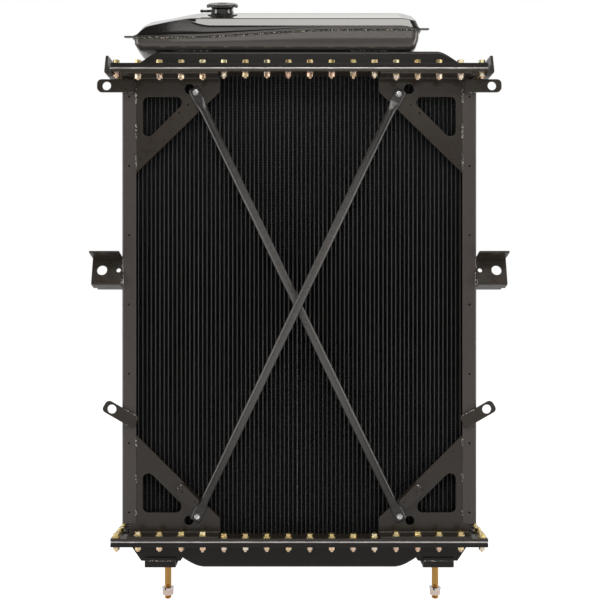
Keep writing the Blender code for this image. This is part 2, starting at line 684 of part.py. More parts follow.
def build_foot(side, sign):
    top, low = LOW_FLANGE[0] - GAP, 15.5
    web = [(409, top), (397, 47), (376, low), (282, low), (276, 25), (259, top)]
    outline = [(sign * x, z) for x, z in web]
    pad_x = (366.8, 293.9)
    name = "foot_bracket_" + side
    foot = plate(name, [outline], "y", -64, -64 + FOOT_T, BLACK)
    join(foot, plate(name + "_rear", [outline], "y", 64 - FOOT_T, 64, helper=True))
    pad = [(-68, 0, 3), (68, 0, 3), (68, 24, 0), (63, 24, 0), (63, 6, 0), (-63, 6, 0),
           (-63, 24, 0), (-68, 24, 0)]
    pad_outline = rounded(pad, 3)
    saddle = plate(name + "_pad", [pad_outline], "x", *sorted(sign * x for x in pad_x), helper=True)
    join(foot, saddle)
    x = STUD_X[side]
    cut(foot, rods(name + "_stud_hole", [((x, 0, -2), (x, 0, 8), STUD_R + 0.5, 20)], helper=True))

    stud = rods("foot_stud_" + side, [((x, 0, STUD_LOW), (x, 0, 12), STUD_R, 20)], GOLD)
    join(stud, rods(stud.name + "_head", [((x, 0, 6 + GAP), (x, 0, 16), 13.7, 6)], helper=True))
    shade_round(stud)
    washer = [(STUD_R + 0.4, -66.2), (STUD_R + 0.4, -70.7), (14.0, -70.7), (14.0, -66.2)]
    turned("stud_washer_" + side, washer[::-1], (x, 0, 0), ZINC, steps=20)
    nut = rods("stud_nut_" + side, [((x, 0, -85), (x, 0, -71), 13.7, 6)], GOLD)
    cut(nut, rods(nut.name + "_bore", [((x, 0, -86), (x, 0, -70), STUD_R + 0.4, 20)], helper=True))


def build_end_plate(side, sign):
    z = HIGH_RING[0] - GAP
    outline = rounded([(441, z, 0), (452.5, z, 3), (449, 1210, 0), (455, 1210, 2), (459.5, z - 5, 6),
                       (441, z - 5, 0)], 3)
    plate("end_plate_" + side, [[(sign * x, h) for x, h in outline]], "y", -88, -28, BLACK)


# Surge tank


def seam_z(x):
    """Height of the seam between the two pressings, which climbs from the left end."""
    return 1264.0 + 18.5 * smooth_step((x + 300) / 420)


def ring_at(x, y, radius, height, corner_steps=3):
    """A rounded rectangle between the x and y pairs, with z from height(x, y).

    Its points lie closer together toward the left end, where the surge tank's height changes.
    """
    loop = rounded([(x[0], y[0], radius), (x[1], y[0], radius), (x[1], y[1], radius),
                    (x[0], y[1], radius)], corner_steps)
    dense = []
    for i, (a, b) in enumerate(zip(loop, loop[1:] + loop[:1])):
        span = 7 if i % (2 * corner_steps + 2) == corner_steps else 1
        shares = [(k / span) ** 1.7 for k in range(span)]
        if a[0] > b[0]:
            shares = [1 - (1 - k / span) ** 1.7 for k in range(span)]
        dense += [tuple(Vector(a).lerp(Vector(b), share)) for share in shares]
    return [(u, v, height(u, v)) for u, v in dense]


def crown_z(x, y):
    """Height of the sloping crown, which falls away toward the left end."""
    front = CREASE_Z - 26 * (1 - smooth_step((x - SURGE_LEFT) / 170))
    rear = RIDGE_Z - 20.5 * (1 - smooth_step((x + 385) / 160))
    return front + (rear - front) * (y - CREASE_Y) / (RIDGE_Y - CREASE_Y)


def shell_from(name, rings, finish):
    """A pressed shell: a surface through rings, capped at the last, given its wall inward."""
    bm = bmesh.new()
    loops = [[bm.verts.new(Vector(point) * MM) for point in ring] for ring in rings]
    for low, high in zip(loops, loops[1:]):
        for i in range(len(low)):
            j = (i + 1) % len(low)
            bm.faces.new((low[i], low[j], high[j], high[i]))
    bmesh.ops.triangulate(bm, faces=[bm.faces.new(loops[-1])])
    made = bm_object(name, bm, finish)
    wall = made.modifiers.new("wall", "SOLIDIFY")
    wall.thickness = SURGE_WALL * MM
    wall.offset = -1.0
    return made


def build_surge_shells():
    left, right, y = SURGE_LEFT, SURGE_RIGHT, SURGE_Y
    edge_x, edge_y = (left - SEAM_LIP, right + SEAM_LIP), (-y - SEAM_LIP, y + SEAM_LIP)

    def seam(x, _):
        return seam_z(x) + GAP / 2 + SURGE_WALL

    def above(share):
        return lambda x, v: seam(x, v) + (crown_z(x, v) - seam(x, v)) * share

    upper = [
        ring_at(edge_x, edge_y, 21, seam),
        ring_at((left, right), (-y, y), 18, seam),
        ring_at((left + 5, right - 1), (-y + 1, y - 1), 18, above(0.6)),
        ring_at((left + 12, right - 4), (-y + 2.6, y - 2.6), 16, above(0.95)),
        ring_at((left + 18, right - 9), (-y + 8, y - 8), 14, crown_z),
        ring_at((left + 60, right - 40), (-22, 22), 10, crown_z),
    ]
    shell = shell_from("surge_tank_upper", upper, BLACK)
    axis = Vector((0, -math.sin(CROWN_SLOPE), math.cos(CROWN_SLOPE)))
    base = Vector((NECK_X, NECK_Y, NECK_Z))
    ends = (tuple(base - axis * 30), tuple(base + axis * 20), NECK_WALL_R + 0.7, 24)
    cut(shell, rods("filler_hole", [ends], helper=True))
    shade_round(shell, 30)

    def under(x, _):
        return seam_z(x) - GAP / 2 - SURGE_WALL

    def below(drop):
        return lambda x, v: max(SURGE_FLOOR, under(x, v) - drop)

    lower = [
        ring_at(edge_x, edge_y, 21, under),
        ring_at((left, right), (-y, y), 18, under),
        ring_at((left + 2, right - 3), (-y + 1, y - 1), 18,
                lambda x, v: SURGE_FLOOR + 0.45 * (under(x, v) - SURGE_FLOOR)),
        ring_at((left + 8, right - 8), (-y + 6, y - 6), 15, lambda x, v: SURGE_FLOOR + 3.5),
        ring_at((left + 20, right - 20), (-y + 16, y - 16), 12, lambda x, v: SURGE_FLOOR),
    ]
    shell = shell_from("surge_tank_lower", [ring[::-1] for ring in lower], BLACK)
    ears = []
    for x, inward in ((left, 1), (right, -1)):
        z = seam_z(x)
        span = sorted((x - inward * EAR, x + inward * 3))
        ears.append((span, (-y - SEAM_LIP + 0.2, -y + 8), (z - 3.3, z - 0.7)))
    join(shell, blocks("seam_ears", ears, helper=True))
    shade_round(shell, 30)


def build_surge_fittings():
    for side, x in (("left", -256.0), ("right", 166.0)):
        plate("surge_saddle_" + side, [rectangle(48, 40, 4)], "z", HIGH_TANK_TOP + GAP,
              SURGE_FLOOR - GAP, BLACK).data.transform(Matrix.Translation((x * MM, 0, 0)))
    nipple("make_up_nipple", (-60, SURGE_Y + GAP, 1252), (-60, 96, 1252), 6.0, 4.2)

    wall, bore, seat, rim = NECK_WALL_R, NECK_WALL_R - 3.4, 16.0, 33.2
    rim_low, rim_high = CAP_LOW - 0.8, CAP_TOP - CAP_ROOF_T - GAP
    profile = [(rim, rim_high), (rim, rim_low), (wall, rim_low - 2), (wall, NECK_Z + 2.6),
               (35, NECK_Z + 2.6), (35, NECK_Z + 0.5), (wall, NECK_Z + 0.5), (wall, NECK_Z - 13),
               (bore, NECK_Z - 13), (bore, SEAT_Z - 3), (seat, SEAT_Z - 3), (seat, SEAT_Z),
               (bore, SEAT_Z), (bore, rim_high)]
    neck = turned("filler_neck", profile, (NECK_X, NECK_Y, 0), BLACK, steps=24)
    port_z = NECK_Z + 9.0
    cut(neck, rods("overflow_port", [((NECK_X - 20, NECK_Y, port_z),
                                      (NECK_X - 36, NECK_Y, port_z), 1.8, 12)], helper=True))
    shade_round(neck)
    nipple("overflow_nipple", (NECK_X - wall - GAP, NECK_Y, port_z), (-243.0, NECK_Y, port_z))


def build_cap():
    centre = (NECK_X, NECK_Y, 0)
    inner, outer = 34.4, 35.6
    roof = CAP_TOP - CAP_ROOF_T
    profile = [(0, CAP_TOP - 1), (9, CAP_TOP - 1), (12, CAP_TOP), (33, CAP_TOP), (outer, CAP_TOP - 2.5),
               (outer, CAP_LOW), (inner, CAP_LOW), (inner, roof), (0, roof)]
    cap = turned("cap_shell", profile, centre, STEEL, steps=28)
    ears = []
    for sign in (-1, 1):
        x = sorted((NECK_X + sign * (inner + 0.2), NECK_X + sign * 38.4))
        ears.append((x, (NECK_Y - 11, NECK_Y + 11), (CAP_LOW - 2.5, CAP_LOW + 5)))
    join(cap, blocks("cap_ears", ears, helper=True))
    stem = [((NECK_X, NECK_Y, roof - 3.5), (NECK_X, NECK_Y, roof + 1), 8.0, 16)]
    join(cap, rods("cap_boss", stem, helper=True))
    shade_round(cap)

    low, high = SEAT_Z + GAP, SEAT_Z + GAP + 3
    valve = [(22.6, high), (22.6, low), (2.6, low), (2.6, high)]
    shade_round(turned("cap_pressure_valve", valve, centre, BRASS_PLAIN, steps=20))

    disc_top = low - 0.5
    vacuum = [(0, high + 5.0), (5, high + 5.0), (5, high + 3.2), (2.1, high + 3.2),
              (2.1, disc_top), (9, disc_top), (9, disc_top - 2), (0, disc_top - 2)]
    shade_round(turned("cap_vacuum_valve", vacuum, centre, BRASS_PLAIN, steps=12))
    build_cap_spring(high + GAP, roof - GAP)


def build_cap_spring(low, high):
    turns, per_turn, coil, wire = 3.5, 10, 15.0, 1.1
    curve = bpy.data.curves.new("cap_spring", "CURVE")
    curve.dimensions = "3D"
    curve.bevel_depth = wire * MM
    curve.bevel_resolution = 1
    curve.use_fill_caps = True
    spline = curve.splines.new("POLY")
    count = int(turns * per_turn) + 1
    spline.points.add(count - 1)
    for i, point in enumerate(spline.points):
        turn = 2 * math.pi * i / per_turn
        z = low + wire + (high - low - 2 * wire) * i / (count - 1)
        spot = (NECK_X + coil * math.cos(turn), NECK_Y + coil * math.sin(turn), z)
        point.co = (*(Vector(spot) * MM), 1.0)
    spring = bpy.data.objects.new("cap_spring", curve)
    PARTS.objects.link(spring)
    as_mesh(spring, "cap_spring", SPRING)


def lean_filler():
    """Leans the upright filler neck and its cap forward, square to the crown."""
    base = Vector((NECK_X, NECK_Y, NECK_Z)) * MM
    lean = (Matrix.Translation(base) @ Matrix.Rotation(CROWN_SLOPE, 4, "X")
            @ Matrix.Translation(-base))
    for name in ("filler_neck", "overflow_port", "overflow_nipple", "cap_shell", "cap_ears",
                 "cap_boss", "cap_spring", "cap_pressure_valve", "cap_vacuum_valve"):
        bpy.data.objects[name].data.transform(lean)


def build_radiator():
    build_core()
    build_flanges()
    build_tanks()
    for side, sign in SIDES.items():
        build_channel(side, sign)
        build_gusset("top", side, sign)
        build_gusset("bottom", side, sign)
        build_clip(side, sign)
        build_tabs(side, sign)
        build_side_bracket(side, sign)
        build_foot(side, sign)
        build_end_plate(side, sign)
    build_brace("brace_front", "bottom_left", "top_right", -9.0)
    build_brace("brace_rear", "bottom_right", "top_left", 6.0)
    build_brace_fasteners()
    build_surge_shells()
    build_surge_fittings()
    build_cap()
    lean_filler()


for leftover in list(bpy.data.objects):
    bpy.data.objects.remove(leftover)
PARTS = collection("truck_radiator")
CUTTERS = collection("cutters")
BLACK = material("black_paint", (0.03, 0.028, 0.027), 0.3)
COPPER = material("black_core", (0.012, 0.012, 0.012), 0.6)
BRASS = material("header_metal", (0.6, 0.56, 0.54), 0.35, 1.0)
BRASS_PLAIN = material("brass", (0.72, 0.53, 0.25), 0.35, 1.0)
RUBBER = material("gasket_rubber", (0.02, 0.02, 0.02), 0.8)
ZINC = material("silver_zinc", (0.75, 0.75, 0.76), 0.25, 1.0)
GOLD = material("yellow_zinc", (0.7, 0.5, 0.22), 0.3, 1.0)
STEEL = material("cap_steel", (0.05, 0.05, 0.05), 0.3, 0.4)
SPRING = material("spring_steel", (0.5, 0.5, 0.5), 0.3, 1.0)
build_radiator()
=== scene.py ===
"""Visual model of a heavy-duty truck radiator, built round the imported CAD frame.

Lengths in the builders below are in millimetres and pass through MM. X is to the right, Y to the
rear and Z up, as in the CAD.
"""
import random
from math import atan, atan2, copysign, cos, pi, radians, sin, tan

import bmesh
import bpy
import numpy as np
from mathutils import Matrix, Vector


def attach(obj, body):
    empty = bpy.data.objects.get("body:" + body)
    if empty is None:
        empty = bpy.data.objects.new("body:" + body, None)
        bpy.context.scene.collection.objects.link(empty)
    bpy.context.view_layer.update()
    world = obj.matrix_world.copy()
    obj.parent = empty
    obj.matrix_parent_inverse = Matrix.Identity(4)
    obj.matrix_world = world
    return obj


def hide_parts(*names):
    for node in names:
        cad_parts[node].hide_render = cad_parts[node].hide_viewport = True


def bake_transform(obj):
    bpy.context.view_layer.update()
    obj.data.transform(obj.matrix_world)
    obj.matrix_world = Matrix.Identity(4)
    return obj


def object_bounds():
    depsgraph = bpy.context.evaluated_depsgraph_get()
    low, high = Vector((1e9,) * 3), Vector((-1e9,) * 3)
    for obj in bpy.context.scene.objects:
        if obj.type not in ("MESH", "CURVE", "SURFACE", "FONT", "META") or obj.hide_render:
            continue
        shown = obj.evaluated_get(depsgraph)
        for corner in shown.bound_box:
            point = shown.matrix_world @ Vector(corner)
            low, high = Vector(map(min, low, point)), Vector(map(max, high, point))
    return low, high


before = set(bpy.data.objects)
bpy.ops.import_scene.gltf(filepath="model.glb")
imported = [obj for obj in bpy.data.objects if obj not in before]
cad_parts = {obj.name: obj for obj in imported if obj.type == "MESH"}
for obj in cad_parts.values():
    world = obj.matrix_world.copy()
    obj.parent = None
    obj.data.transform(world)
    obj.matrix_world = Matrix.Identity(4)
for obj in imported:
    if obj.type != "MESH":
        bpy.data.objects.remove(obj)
CAD_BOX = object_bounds()

MM = 0.001
RNG = random.Random(7)
SIDES = {"left": -1, "right": 1}

# Sizes shared with the CAD
BOLT_PITCH = 50.8
LAST_BOLT = 8  # numbered from 0 at the middle of a long row
FLATS = 14.3
FLANGE_X, FLANGE_Y = 444.5, 89.0
LOW_HEADER, HIGH_HEADER = (65.0, 68.0), (1179.0, 1182.0)
LOW_FLANGE, HIGH_FLANGE = (54.0, 62.0), (1185.0, 1193.0)
LOW_RING, HIGH_RING = (68.3, 74.3), (1172.7, 1178.7)
TUBE_PITCH, TUBE_COUNT = 10.35, 80
GUSSET_BOLTS = (4, 5, 6, 7)
GUSSET_T = 4.4
GAP = 0.3  # clearance between pieces that touch
BRACE_ENDS = {
    "top_left": (-247.7, 1130.7), "top_right": (237.6, 1126.5),
    "bottom_left": (-243.8, 119.0), "bottom_right": (239.3, 119.0),
}
BRACE_BACK_Y = -48.5
TANK_Y = 58.0
INLET, OUTLET = (-152.4, 1214.0, 12.8), (152.4, 22.0, 14.2)  # x, z and half height
STUD_X = {"left": -321.5, "right": 332.5}
SURGE_LEFT, SURGE_RIGHT, SURGE_Y, SURGE_FLOOR = -396.0, 288.0, 62.0, 1233.2
CREASE_Z, RIDGE_Z, CROWN_HALF = 1307.5, 1358.4, 58.0
CROWN_SLOPE = atan((RIDGE_Z - CREASE_Z) / (2 * CROWN_HALF))
NECK = Vector((-188.8, 10.0, CREASE_Z + 68.0 * tan(CROWN_SLOPE)))
LEAN = (Matrix.Translation(NECK * MM) @ Matrix.Rotation(CROWN_SLOPE, 4, "X")
        @ Matrix.Translation(-NECK * MM))


# Materials


class Nodes:
    """A short way to add and link shader nodes."""

    def __init__(self, name):
        self.material = bpy.data.materials.new(name)
        self.material.use_nodes = True
        self.tree = self.material.node_tree
        self.shader = self.tree.nodes["Principled BSDF"]
        self.place = self.add("ShaderNodeTexCoord").outputs["Object"]

    def add(self, kind, **inputs):
        node = self.tree.nodes.new(kind)
        for key, value in inputs.items():
            self.put(node.inputs[key.replace("_", " ")], value)
        return node

    def put(self, socket, value):
        if isinstance(value, bpy.types.NodeSocket):
            self.tree.links.new(value, socket)
        else:
            socket.default_value = value

    def noise(self, scale, detail=3.0, rough=0.5, place=None):
        node = self.add("ShaderNodeTexNoise", Scale=scale, Detail=detail, Roughness=rough)
        self.put(node.inputs["Vector"], place or self.place)
        return node.outputs["Fac"]

    def stretched(self, scale):
        """Object coordinates scaled by a vector, for streaks."""
        node = self.tree.nodes.new("ShaderNodeMapping")
        self.put(node.inputs["Vector"], self.place)
        node.inputs["Scale"].default_value = scale
        return node.outputs["Vector"]

    def ramp(self, value, low, high, out_low=0.0, out_high=1.0):
        node = self.tree.nodes.new("ShaderNodeMapRange")
        for key, v in zip(("Value", "From Min", "From Max", "To Min", "To Max"),
                          (value, low, high, out_low, out_high)):
            self.put(node.inputs[key], v)
        return node.outputs["Result"]

    def mix(self, share, a, b):
        node = self.tree.nodes.new("ShaderNodeMix")
        node.data_type = "RGBA"
        colours = [s for s in node.inputs if s.type == "RGBA"]
        self.put(node.inputs["Factor"], share)
        for socket, colour in zip(colours, (a, b)):
            self.put(socket, colour if isinstance(colour, bpy.types.NodeSocket) else (*colour, 1))
        return next(s for s in node.outputs if s.type == "RGBA")

    def times(self, a, b, operation="MULTIPLY"):
        node = self.tree.nodes.new("ShaderNodeMath")
        node.operation = operation
        self.put(node.inputs[0], a)
        self.put(node.inputs[1], b)
        return node.outputs[0]

    def bump(self, height, strength, distance):
        node = self.add("ShaderNodeBump", Height=height, Strength=strength, Distance=distance)
        self.put(self.shader.inputs["Normal"], node.outputs["Normal"])
        return node

    def finish(self, share, tones, bump, **inputs):
        """Base colour mixed from two tones, with a bump of (height, strength, distance)."""
        tone = self.mix(share, *tones)
        self.bump(*bump)
        return self.set(Base_Color=tone, **inputs)

    def set(self, **inputs):
        for key, value in inputs.items():
            if key == "Base_Color" and not isinstance(value, bpy.types.NodeSocket):
                value = (*value, 1)
            self.put(self.shader.inputs[key.replace("_", " ")], value)
        return self.material


def paint(name, colour, roughness, peel=0.12, dust=0.05, coat=0.0, level=0.5, painted_glint=0.0,
          painted_mid_sheen=None):
    """Sprayed enamel: a dark base with faint dust, orange peel and patchy gloss, and optionally a
    painted sheen and painted glints.
    """
    n = Nodes(name)
    fine = 420.0
    cloud = n.noise(9.0, 4.0)
    speck = n.noise(fine, 2.0, 0.7)
    scuff = n.noise(60.0, 5.0, 0.65)
    dusty = n.times(n.ramp(cloud, 0.35, 0.75), n.ramp(speck, 0.45, 0.8))
    warm = tuple(c * 1.5 + 0.012 for c in colour)
    base = n.mix(n.times(dusty, dust * 6), colour, warm)
    grey = (0.16, 0.15, 0.14)
    flecks = n.ramp(n.noise(fine * 1.7, 1.0), 0.74, 0.8)
    base = n.mix(n.times(flecks, dust), base, grey)
    if painted_mid_sheen:  # painted sheen: paler along the middle of the part's height, standing in for the light along it
        height = n.add("ShaderNodeSeparateXYZ", Vector=n.place).outputs["Z"]
        away = n.times(height, 0.62, "SUBTRACT")
        base = n.mix(n.ramp(n.times(away, away), 0.03, 0.17, 1.0, 0.0), base, painted_mid_sheen)
    if painted_glint:
        # Painted glints: pale specks in the colour stand in for highlights on the weld and sealer
        # beads.
        painted_glint_mask = n.ramp(n.noise(300.0, 3.0, 0.6), 0.54, 0.62, 0.0, painted_glint)
        base = n.mix(painted_glint_mask, base, (0.80, 0.72, 0.60))
    gloss = n.ramp(scuff, 0.3, 0.75, roughness * 0.8, roughness * 1.3)
    height = n.times(n.noise(150.0, 2.0, 0.6), n.times(n.noise(34.0, 2.0), 1.4), "ADD")
    n.bump(height, peel, 0.0012)
    return n.set(Base_Color=base, Roughness=gloss, Coat_Weight=coat, Coat_Roughness=0.06,
                 Specular_IOR_Level=level)


def plated(name, tints, roughness, grain=0.1):
    """Chromated zinc: each fastener takes its own tint, with rainbow patches and fine scuffs."""
    n = Nodes(name)
    island = n.add("ShaderNodeNewGeometry").outputs["Random Per Island"]
    patch = n.noise(210.0, 3.0)
    colour = tints[0]
    for i, tint in enumerate(tints[1:], 1):
        start = i / len(tints)
        colour = n.mix(n.ramp(island, start - 0.04, start + 0.04), colour, tint)
    paler = n.mix(n.ramp(patch, 0.48, 0.72, 0.0, 0.55), colour, tints[-1])
    darker = n.mix(n.ramp(n.noise(520.0, 4.0, 0.7), 0.6, 0.8, 0.0, 0.45), paler, (0.25, 0.17, 0.10))
    n.bump(n.noise(900.0, 3.0), grain, 0.0002)
    gloss = n.ramp(patch, 0.3, 0.7, roughness * 0.75, roughness * 1.4)
    return n.set(Base_Color=darker, Roughness=gloss, Metallic=1.0)


def make_materials():
    made = {
        "frame": paint("frame_enamel", (0.0285, 0.0225, 0.0170), 0.30, 0.10, 0.06),
        "channel": paint("channel_enamel", (0.062, 0.0520, 0.0490), 0.34, 0.08, 0.06),
        "tank": paint("tank_enamel", (0.0125, 0.0104, 0.0096), 0.32, 0.16, 0.08, level=0.28),
        "surge": paint("surge_enamel", (0.0060, 0.0048, 0.0040), 0.10, 0.05, 0.02, coat=0.7),
        # The lower shell's much paler base is painted reflection, standing in for the band of light
        # seen along it.
        "surge_low": paint("lower_surge_enamel_painted_reflection", (0.0640, 0.0570, 0.0540), 0.22, 0.30, 0.03,
                           coat=0.5),
        # The brace enamel carries a painted sheen, paler at mid-height than at the ends.
        "brace": paint("brace_enamel", (0.028, 0.026, 0.025), 0.27, 0.16, 0.10,
                       painted_mid_sheen=(0.084, 0.080, 0.077)),
        # Weld and sealer beads carry painted glints, pale specks standing in for highlights.
        "weld": paint("weld_enamel", (0.018, 0.017, 0.016), 0.17, 0.25, 0.05, coat=0.3,
                      painted_glint=0.75),
        "sealer": paint("sealer_enamel", (0.014, 0.013, 0.012), 0.15, 0.4, 0.05, coat=0.4,
                        painted_glint=0.8),
    }
    golds = [(0.80, 0.60, 0.24), (0.72, 0.59, 0.26), (0.84, 0.66, 0.34), (0.76, 0.55, 0.26),
             (0.92, 0.83, 0.52)]
    made["gold"] = plated("yellow_zinc", golds, 0.26, 0.06)
    roses = [(0.88, 0.62, 0.42), (0.92, 0.74, 0.56), (0.88, 0.70, 0.40), (0.84, 0.56, 0.42),
             (0.96, 0.86, 0.72)]
    made["rose"] = plated("rose_zinc", roses, 0.30, 0.05)
    made["stud_gold"] = plated("stud_zinc", [(0.50, 0.28, 0.08), (0.60, 0.36, 0.12)], 0.27, 0.05)
    made["pink"] = plated("nut_zinc", [(0.84, 0.68, 0.60), (0.86, 0.74, 0.66)], 0.24)
    made["silver"] = plated("silver_zinc", [(0.60, 0.60, 0.61), (0.80, 0.80, 0.81)], 0.26)

    n = Nodes("tinned_header")
    streak = n.noise(30.0, 3.0, 0.6, n.stretched((1.0, 1.0, 20.0)))
    made["header"] = n.finish(n.ramp(streak, 0.3, 0.7), ((0.50, 0.46, 0.45), (0.86, 0.83, 0.82)),
                              (n.noise(400.0, 3.0), 0.15, 0.0003), Metallic=0.9,
                              Roughness=n.ramp(streak, 0.3, 0.7, 0.3, 0.5))

    n = Nodes("core_tube_black")
    lean = n.noise(3.0, 2.0, 0.5, n.stretched((36.0, 1.0, 0.35)))
    made["tube"] = n.finish(n.ramp(lean, 0.3, 0.7), ((0.022, 0.0223, 0.0230),
                                                     (0.043, 0.0425, 0.043)),
                            (n.noise(240.0, 2.0), 0.2, 0.0004),
                            Roughness=n.ramp(n.noise(45.0), 0.3, 0.7, 0.38, 0.6))

    n = Nodes("core_fin_black")
    made["fin"] = n.finish(n.ramp(n.noise(14.0, 3.0), 0.3, 0.7),
                           ((0.0220, 0.0221, 0.0228), (0.036, 0.036, 0.037)),
                           (n.noise(300.0, 2.0), 0.2, 0.0004), Roughness=0.55)

    n = Nodes("gasket_rubber")
    made["rubber"] = n.finish(n.noise(200.0, 3.0), ((0.010, 0.010, 0.010), (0.026, 0.025, 0.024)),
                              (n.noise(800.0, 2.0), 0.3, 0.0003), Roughness=0.75)

    n = Nodes("cap_enamel")
    worn = n.ramp(n.noise(170.0, 5.0, 0.7), 0.56, 0.64)
    made["cap"] = n.finish(worn, ((0.016, 0.015, 0.014), (0.30, 0.29, 0.28)),
                           (n.noise(500.0, 3.0), 0.3, 0.0004), Metallic=n.times(worn, 0.7),
                           Roughness=n.ramp(n.noise(90.0), 0.3, 0.7, 0.16, 0.34))

    n = Nodes("turned_brass")
    rings = n.noise(500.0, 2.0, 0.5, n.stretched((0.2, 1.0, 0.2)))
    made["brass"] = n.finish(rings, ((0.60, 0.40, 0.15), (0.85, 0.66, 0.32)),
                             (rings, 0.15, 0.0002), Metallic=1.0,
                             Roughness=n.ramp(rings, 0.3, 0.7, 0.2, 0.4))

    n = Nodes("spring_wire")
    tone = n.mix(n.noise(300.0, 3.0), (0.35, 0.35, 0.36), (0.62, 0.62, 0.62))
    made["spring"] = n.set(Base_Color=tone, Metallic=1.0, Roughness=0.3)

    n = Nodes("studio_floor")
    tone = n.mix(n.noise(3.0, 3.0), (0.40, 0.40, 0.40), (0.43, 0.43, 0.43))
    glow = n.ramp(n.add("ShaderNodeLightPath").outputs["Is Camera Ray"], 0.0, 1.0, 0.40, 0.90)
    made["floor"] = n.set(Base_Color=tone, Roughness=0.8, Specular_IOR_Level=0.1,
                          Emission_Color=(1, 1, 1, 1), Emission_Strength=glow)
    return made


MAT = make_materials()


# Mesh builders


def new_piece(name, shape, finish, replaces=(), body="radiator", smooth=35, flat=False):
    """A visible piece from a mesh or a bmesh, riding on a body and standing for CAD nodes.

    flat keeps the flat faces flat in the shading, beside their rounded edges.
    """
    mesh = shape
    if isinstance(shape, bmesh.types.BMesh):
        mesh = bpy.data.meshes.new(name)
        shape.to_mesh(mesh)
        shape.free()
    mesh.name = name
    mesh.materials.clear()
    mesh.materials.append(MAT[finish])
    made = bpy.data.objects.new(name, mesh)
    bpy.context.scene.collection.objects.link(made)
    mesh.shade_smooth()
    mesh.set_sharp_from_angle(angle=radians(smooth))
    if body:
        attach(made, body)
    if replaces:
        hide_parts(*replaces)
    if flat:
        made.modifiers.new("flat", "WEIGHTED_NORMAL").keep_sharp = True
    return made


def moved(shape, matrix):
    """The same bmesh after a transform in metres."""
    bmesh.ops.transform(shape, verts=shape.verts, matrix=matrix)
    return shape


def shift(x, y, z):
    """A move given in millimetres."""
    return Matrix.Translation(Vector((x, y, z)) * MM)


def evaluated_mesh(source):
    """The source's evaluated mesh, after which the source is removed."""
    bpy.context.view_layer.update()
    graph = bpy.context.evaluated_depsgraph_get()
    mesh = bpy.data.meshes.new_from_object(source.evaluated_get(graph))
    data = source.data
    bpy.data.objects.remove(source)
    if isinstance(data, bpy.types.Curve):
        bpy.data.curves.remove(data)
    else:
        bpy.data.meshes.remove(data)
    return mesh


def rounded(corners, steps=6):
    """An outline from (x, y, radius) corners, each rounded by an arc."""
    points = []
    for i, (x, y, radius) in enumerate(corners):
        here = Vector((x, y))
        if radius == 0:
            points.append((x, y))
            continue
        before = (Vector(corners[i - 1][:2]) - here).normalized()
        after = (Vector(corners[(i + 1) % len(corners)][:2]) - here).normalized()
        half = before.angle(after) / 2
        middle = here + (before + after).normalized() * (radius / sin(half))
        start = here + before * (radius / tan(half)) - middle
        end = here + after * (radius / tan(half)) - middle
        sweep = atan2(start.x * end.y - start.y * end.x, start.dot(end))
        for step in range(steps + 1):
            turn = Matrix.Rotation(sweep * step / steps, 2)
            points.append(tuple(middle + turn @ start))
    return points


def circle(x, y, radius, count=32):
    turn = 2 * pi / count
    return [(x + radius * cos(turn * i), y + radius * sin(turn * i))
            for i in range(count)]


def rectangle(x, y, radius=0.0):
    return rounded([(-x, -y, radius), (x, -y, radius), (x, y, radius), (-x, y, radius)])


def flat_sheet(loops, thickness, edge=0.7, rings=2):
    """A flat plate in the (u, v) plane, w from -thickness to 0, with its edges rounded."""
    curve = bpy.data.curves.new("sheet", "CURVE")
    curve.dimensions = "2D"
    curve.fill_mode = "BOTH"
    curve.extrude = (thickness / 2 - edge) * MM
    curve.bevel_depth = edge * MM
    curve.bevel_resolution = rings
    curve.offset = -edge * MM
    for loop in loops:
        spline = curve.splines.new("POLY")
        spline.points.add(len(loop) - 1)
        for point, (u, v) in zip(spline.points, loop):
            point.co = (u * MM, v * MM, 0.0, 1.0)
        spline.use_cyclic_u = True
    source = bpy.data.objects.new("sheet", curve)
    bpy.context.scene.collection.objects.link(source)
    mesh = evaluated_mesh(source)
    bm = bmesh.new()
    bm.from_mesh(mesh)
    bpy.data.meshes.remove(mesh)
    bmesh.ops.remove_doubles(bm, verts=bm.verts, dist=0.00001)
    bmesh.ops.translate(bm, verts=bm.verts, vec=(0, 0, -thickness / 2 * MM))
    bmesh.ops.recalc_face_normals(bm, faces=bm.faces)
    return bm


def plate(name, loops, low, high, finish, slot, replaces, edge):
    """A flat plate lying between the heights low and high."""
    bm = moved(flat_sheet(loops, high - low, edge), shift(0, 0, high))
    return new_piece(name, bm, finish, replaces, flat=True)


def walk(segment, point, angle, distance):
    """(point, heading) after a distance along a straight or an arc that starts at point."""
    kind, size, *rest = segment
    if kind == "line":
        return point + Vector((cos(angle), sin(angle))) * distance, angle
    side = copysign(1, rest[0])
    centre = point + Vector((-sin(angle), cos(angle))) * size * side
    now = angle + distance / size * side
    return centre - Vector((-sin(now), cos(now))) * size * side, now


class FoldPath:
    """The side view of a bent sheet: straights and arcs followed by its outer face."""

    def __init__(self, start, heading, segments):
        self.segments = segments
        self.knots = [(0.0, Vector(start), radians(heading))]
        for segment in segments:
            v, *here = self.knots[-1]
            kind, size, *rest = segment
            length = size if kind == "line" else size * abs(radians(rest[0]))
            self.knots.append((v + length, *walk(segment, *here, length)))

    def cuts(self):
        """Distances along the sheet at which it has to be cut to bend."""
        steps, found = 6, []
        for (v0, _, _), (v1, _, _), segment in zip(self.knots, self.knots[1:], self.segments):
            if segment[0] == "arc":
                found += [v0 + (v1 - v0) * i / steps for i in range(steps + 1)]
        return found

    def at(self, v):
        """(point, heading) at a distance along the sheet."""
        last = len(self.segments) - 1
        i = next((k for k in range(last + 1) if v <= self.knots[k + 1][0]), last)
        v0, point, angle = self.knots[i]
        return walk(self.segments[i], point, angle, v - v0)


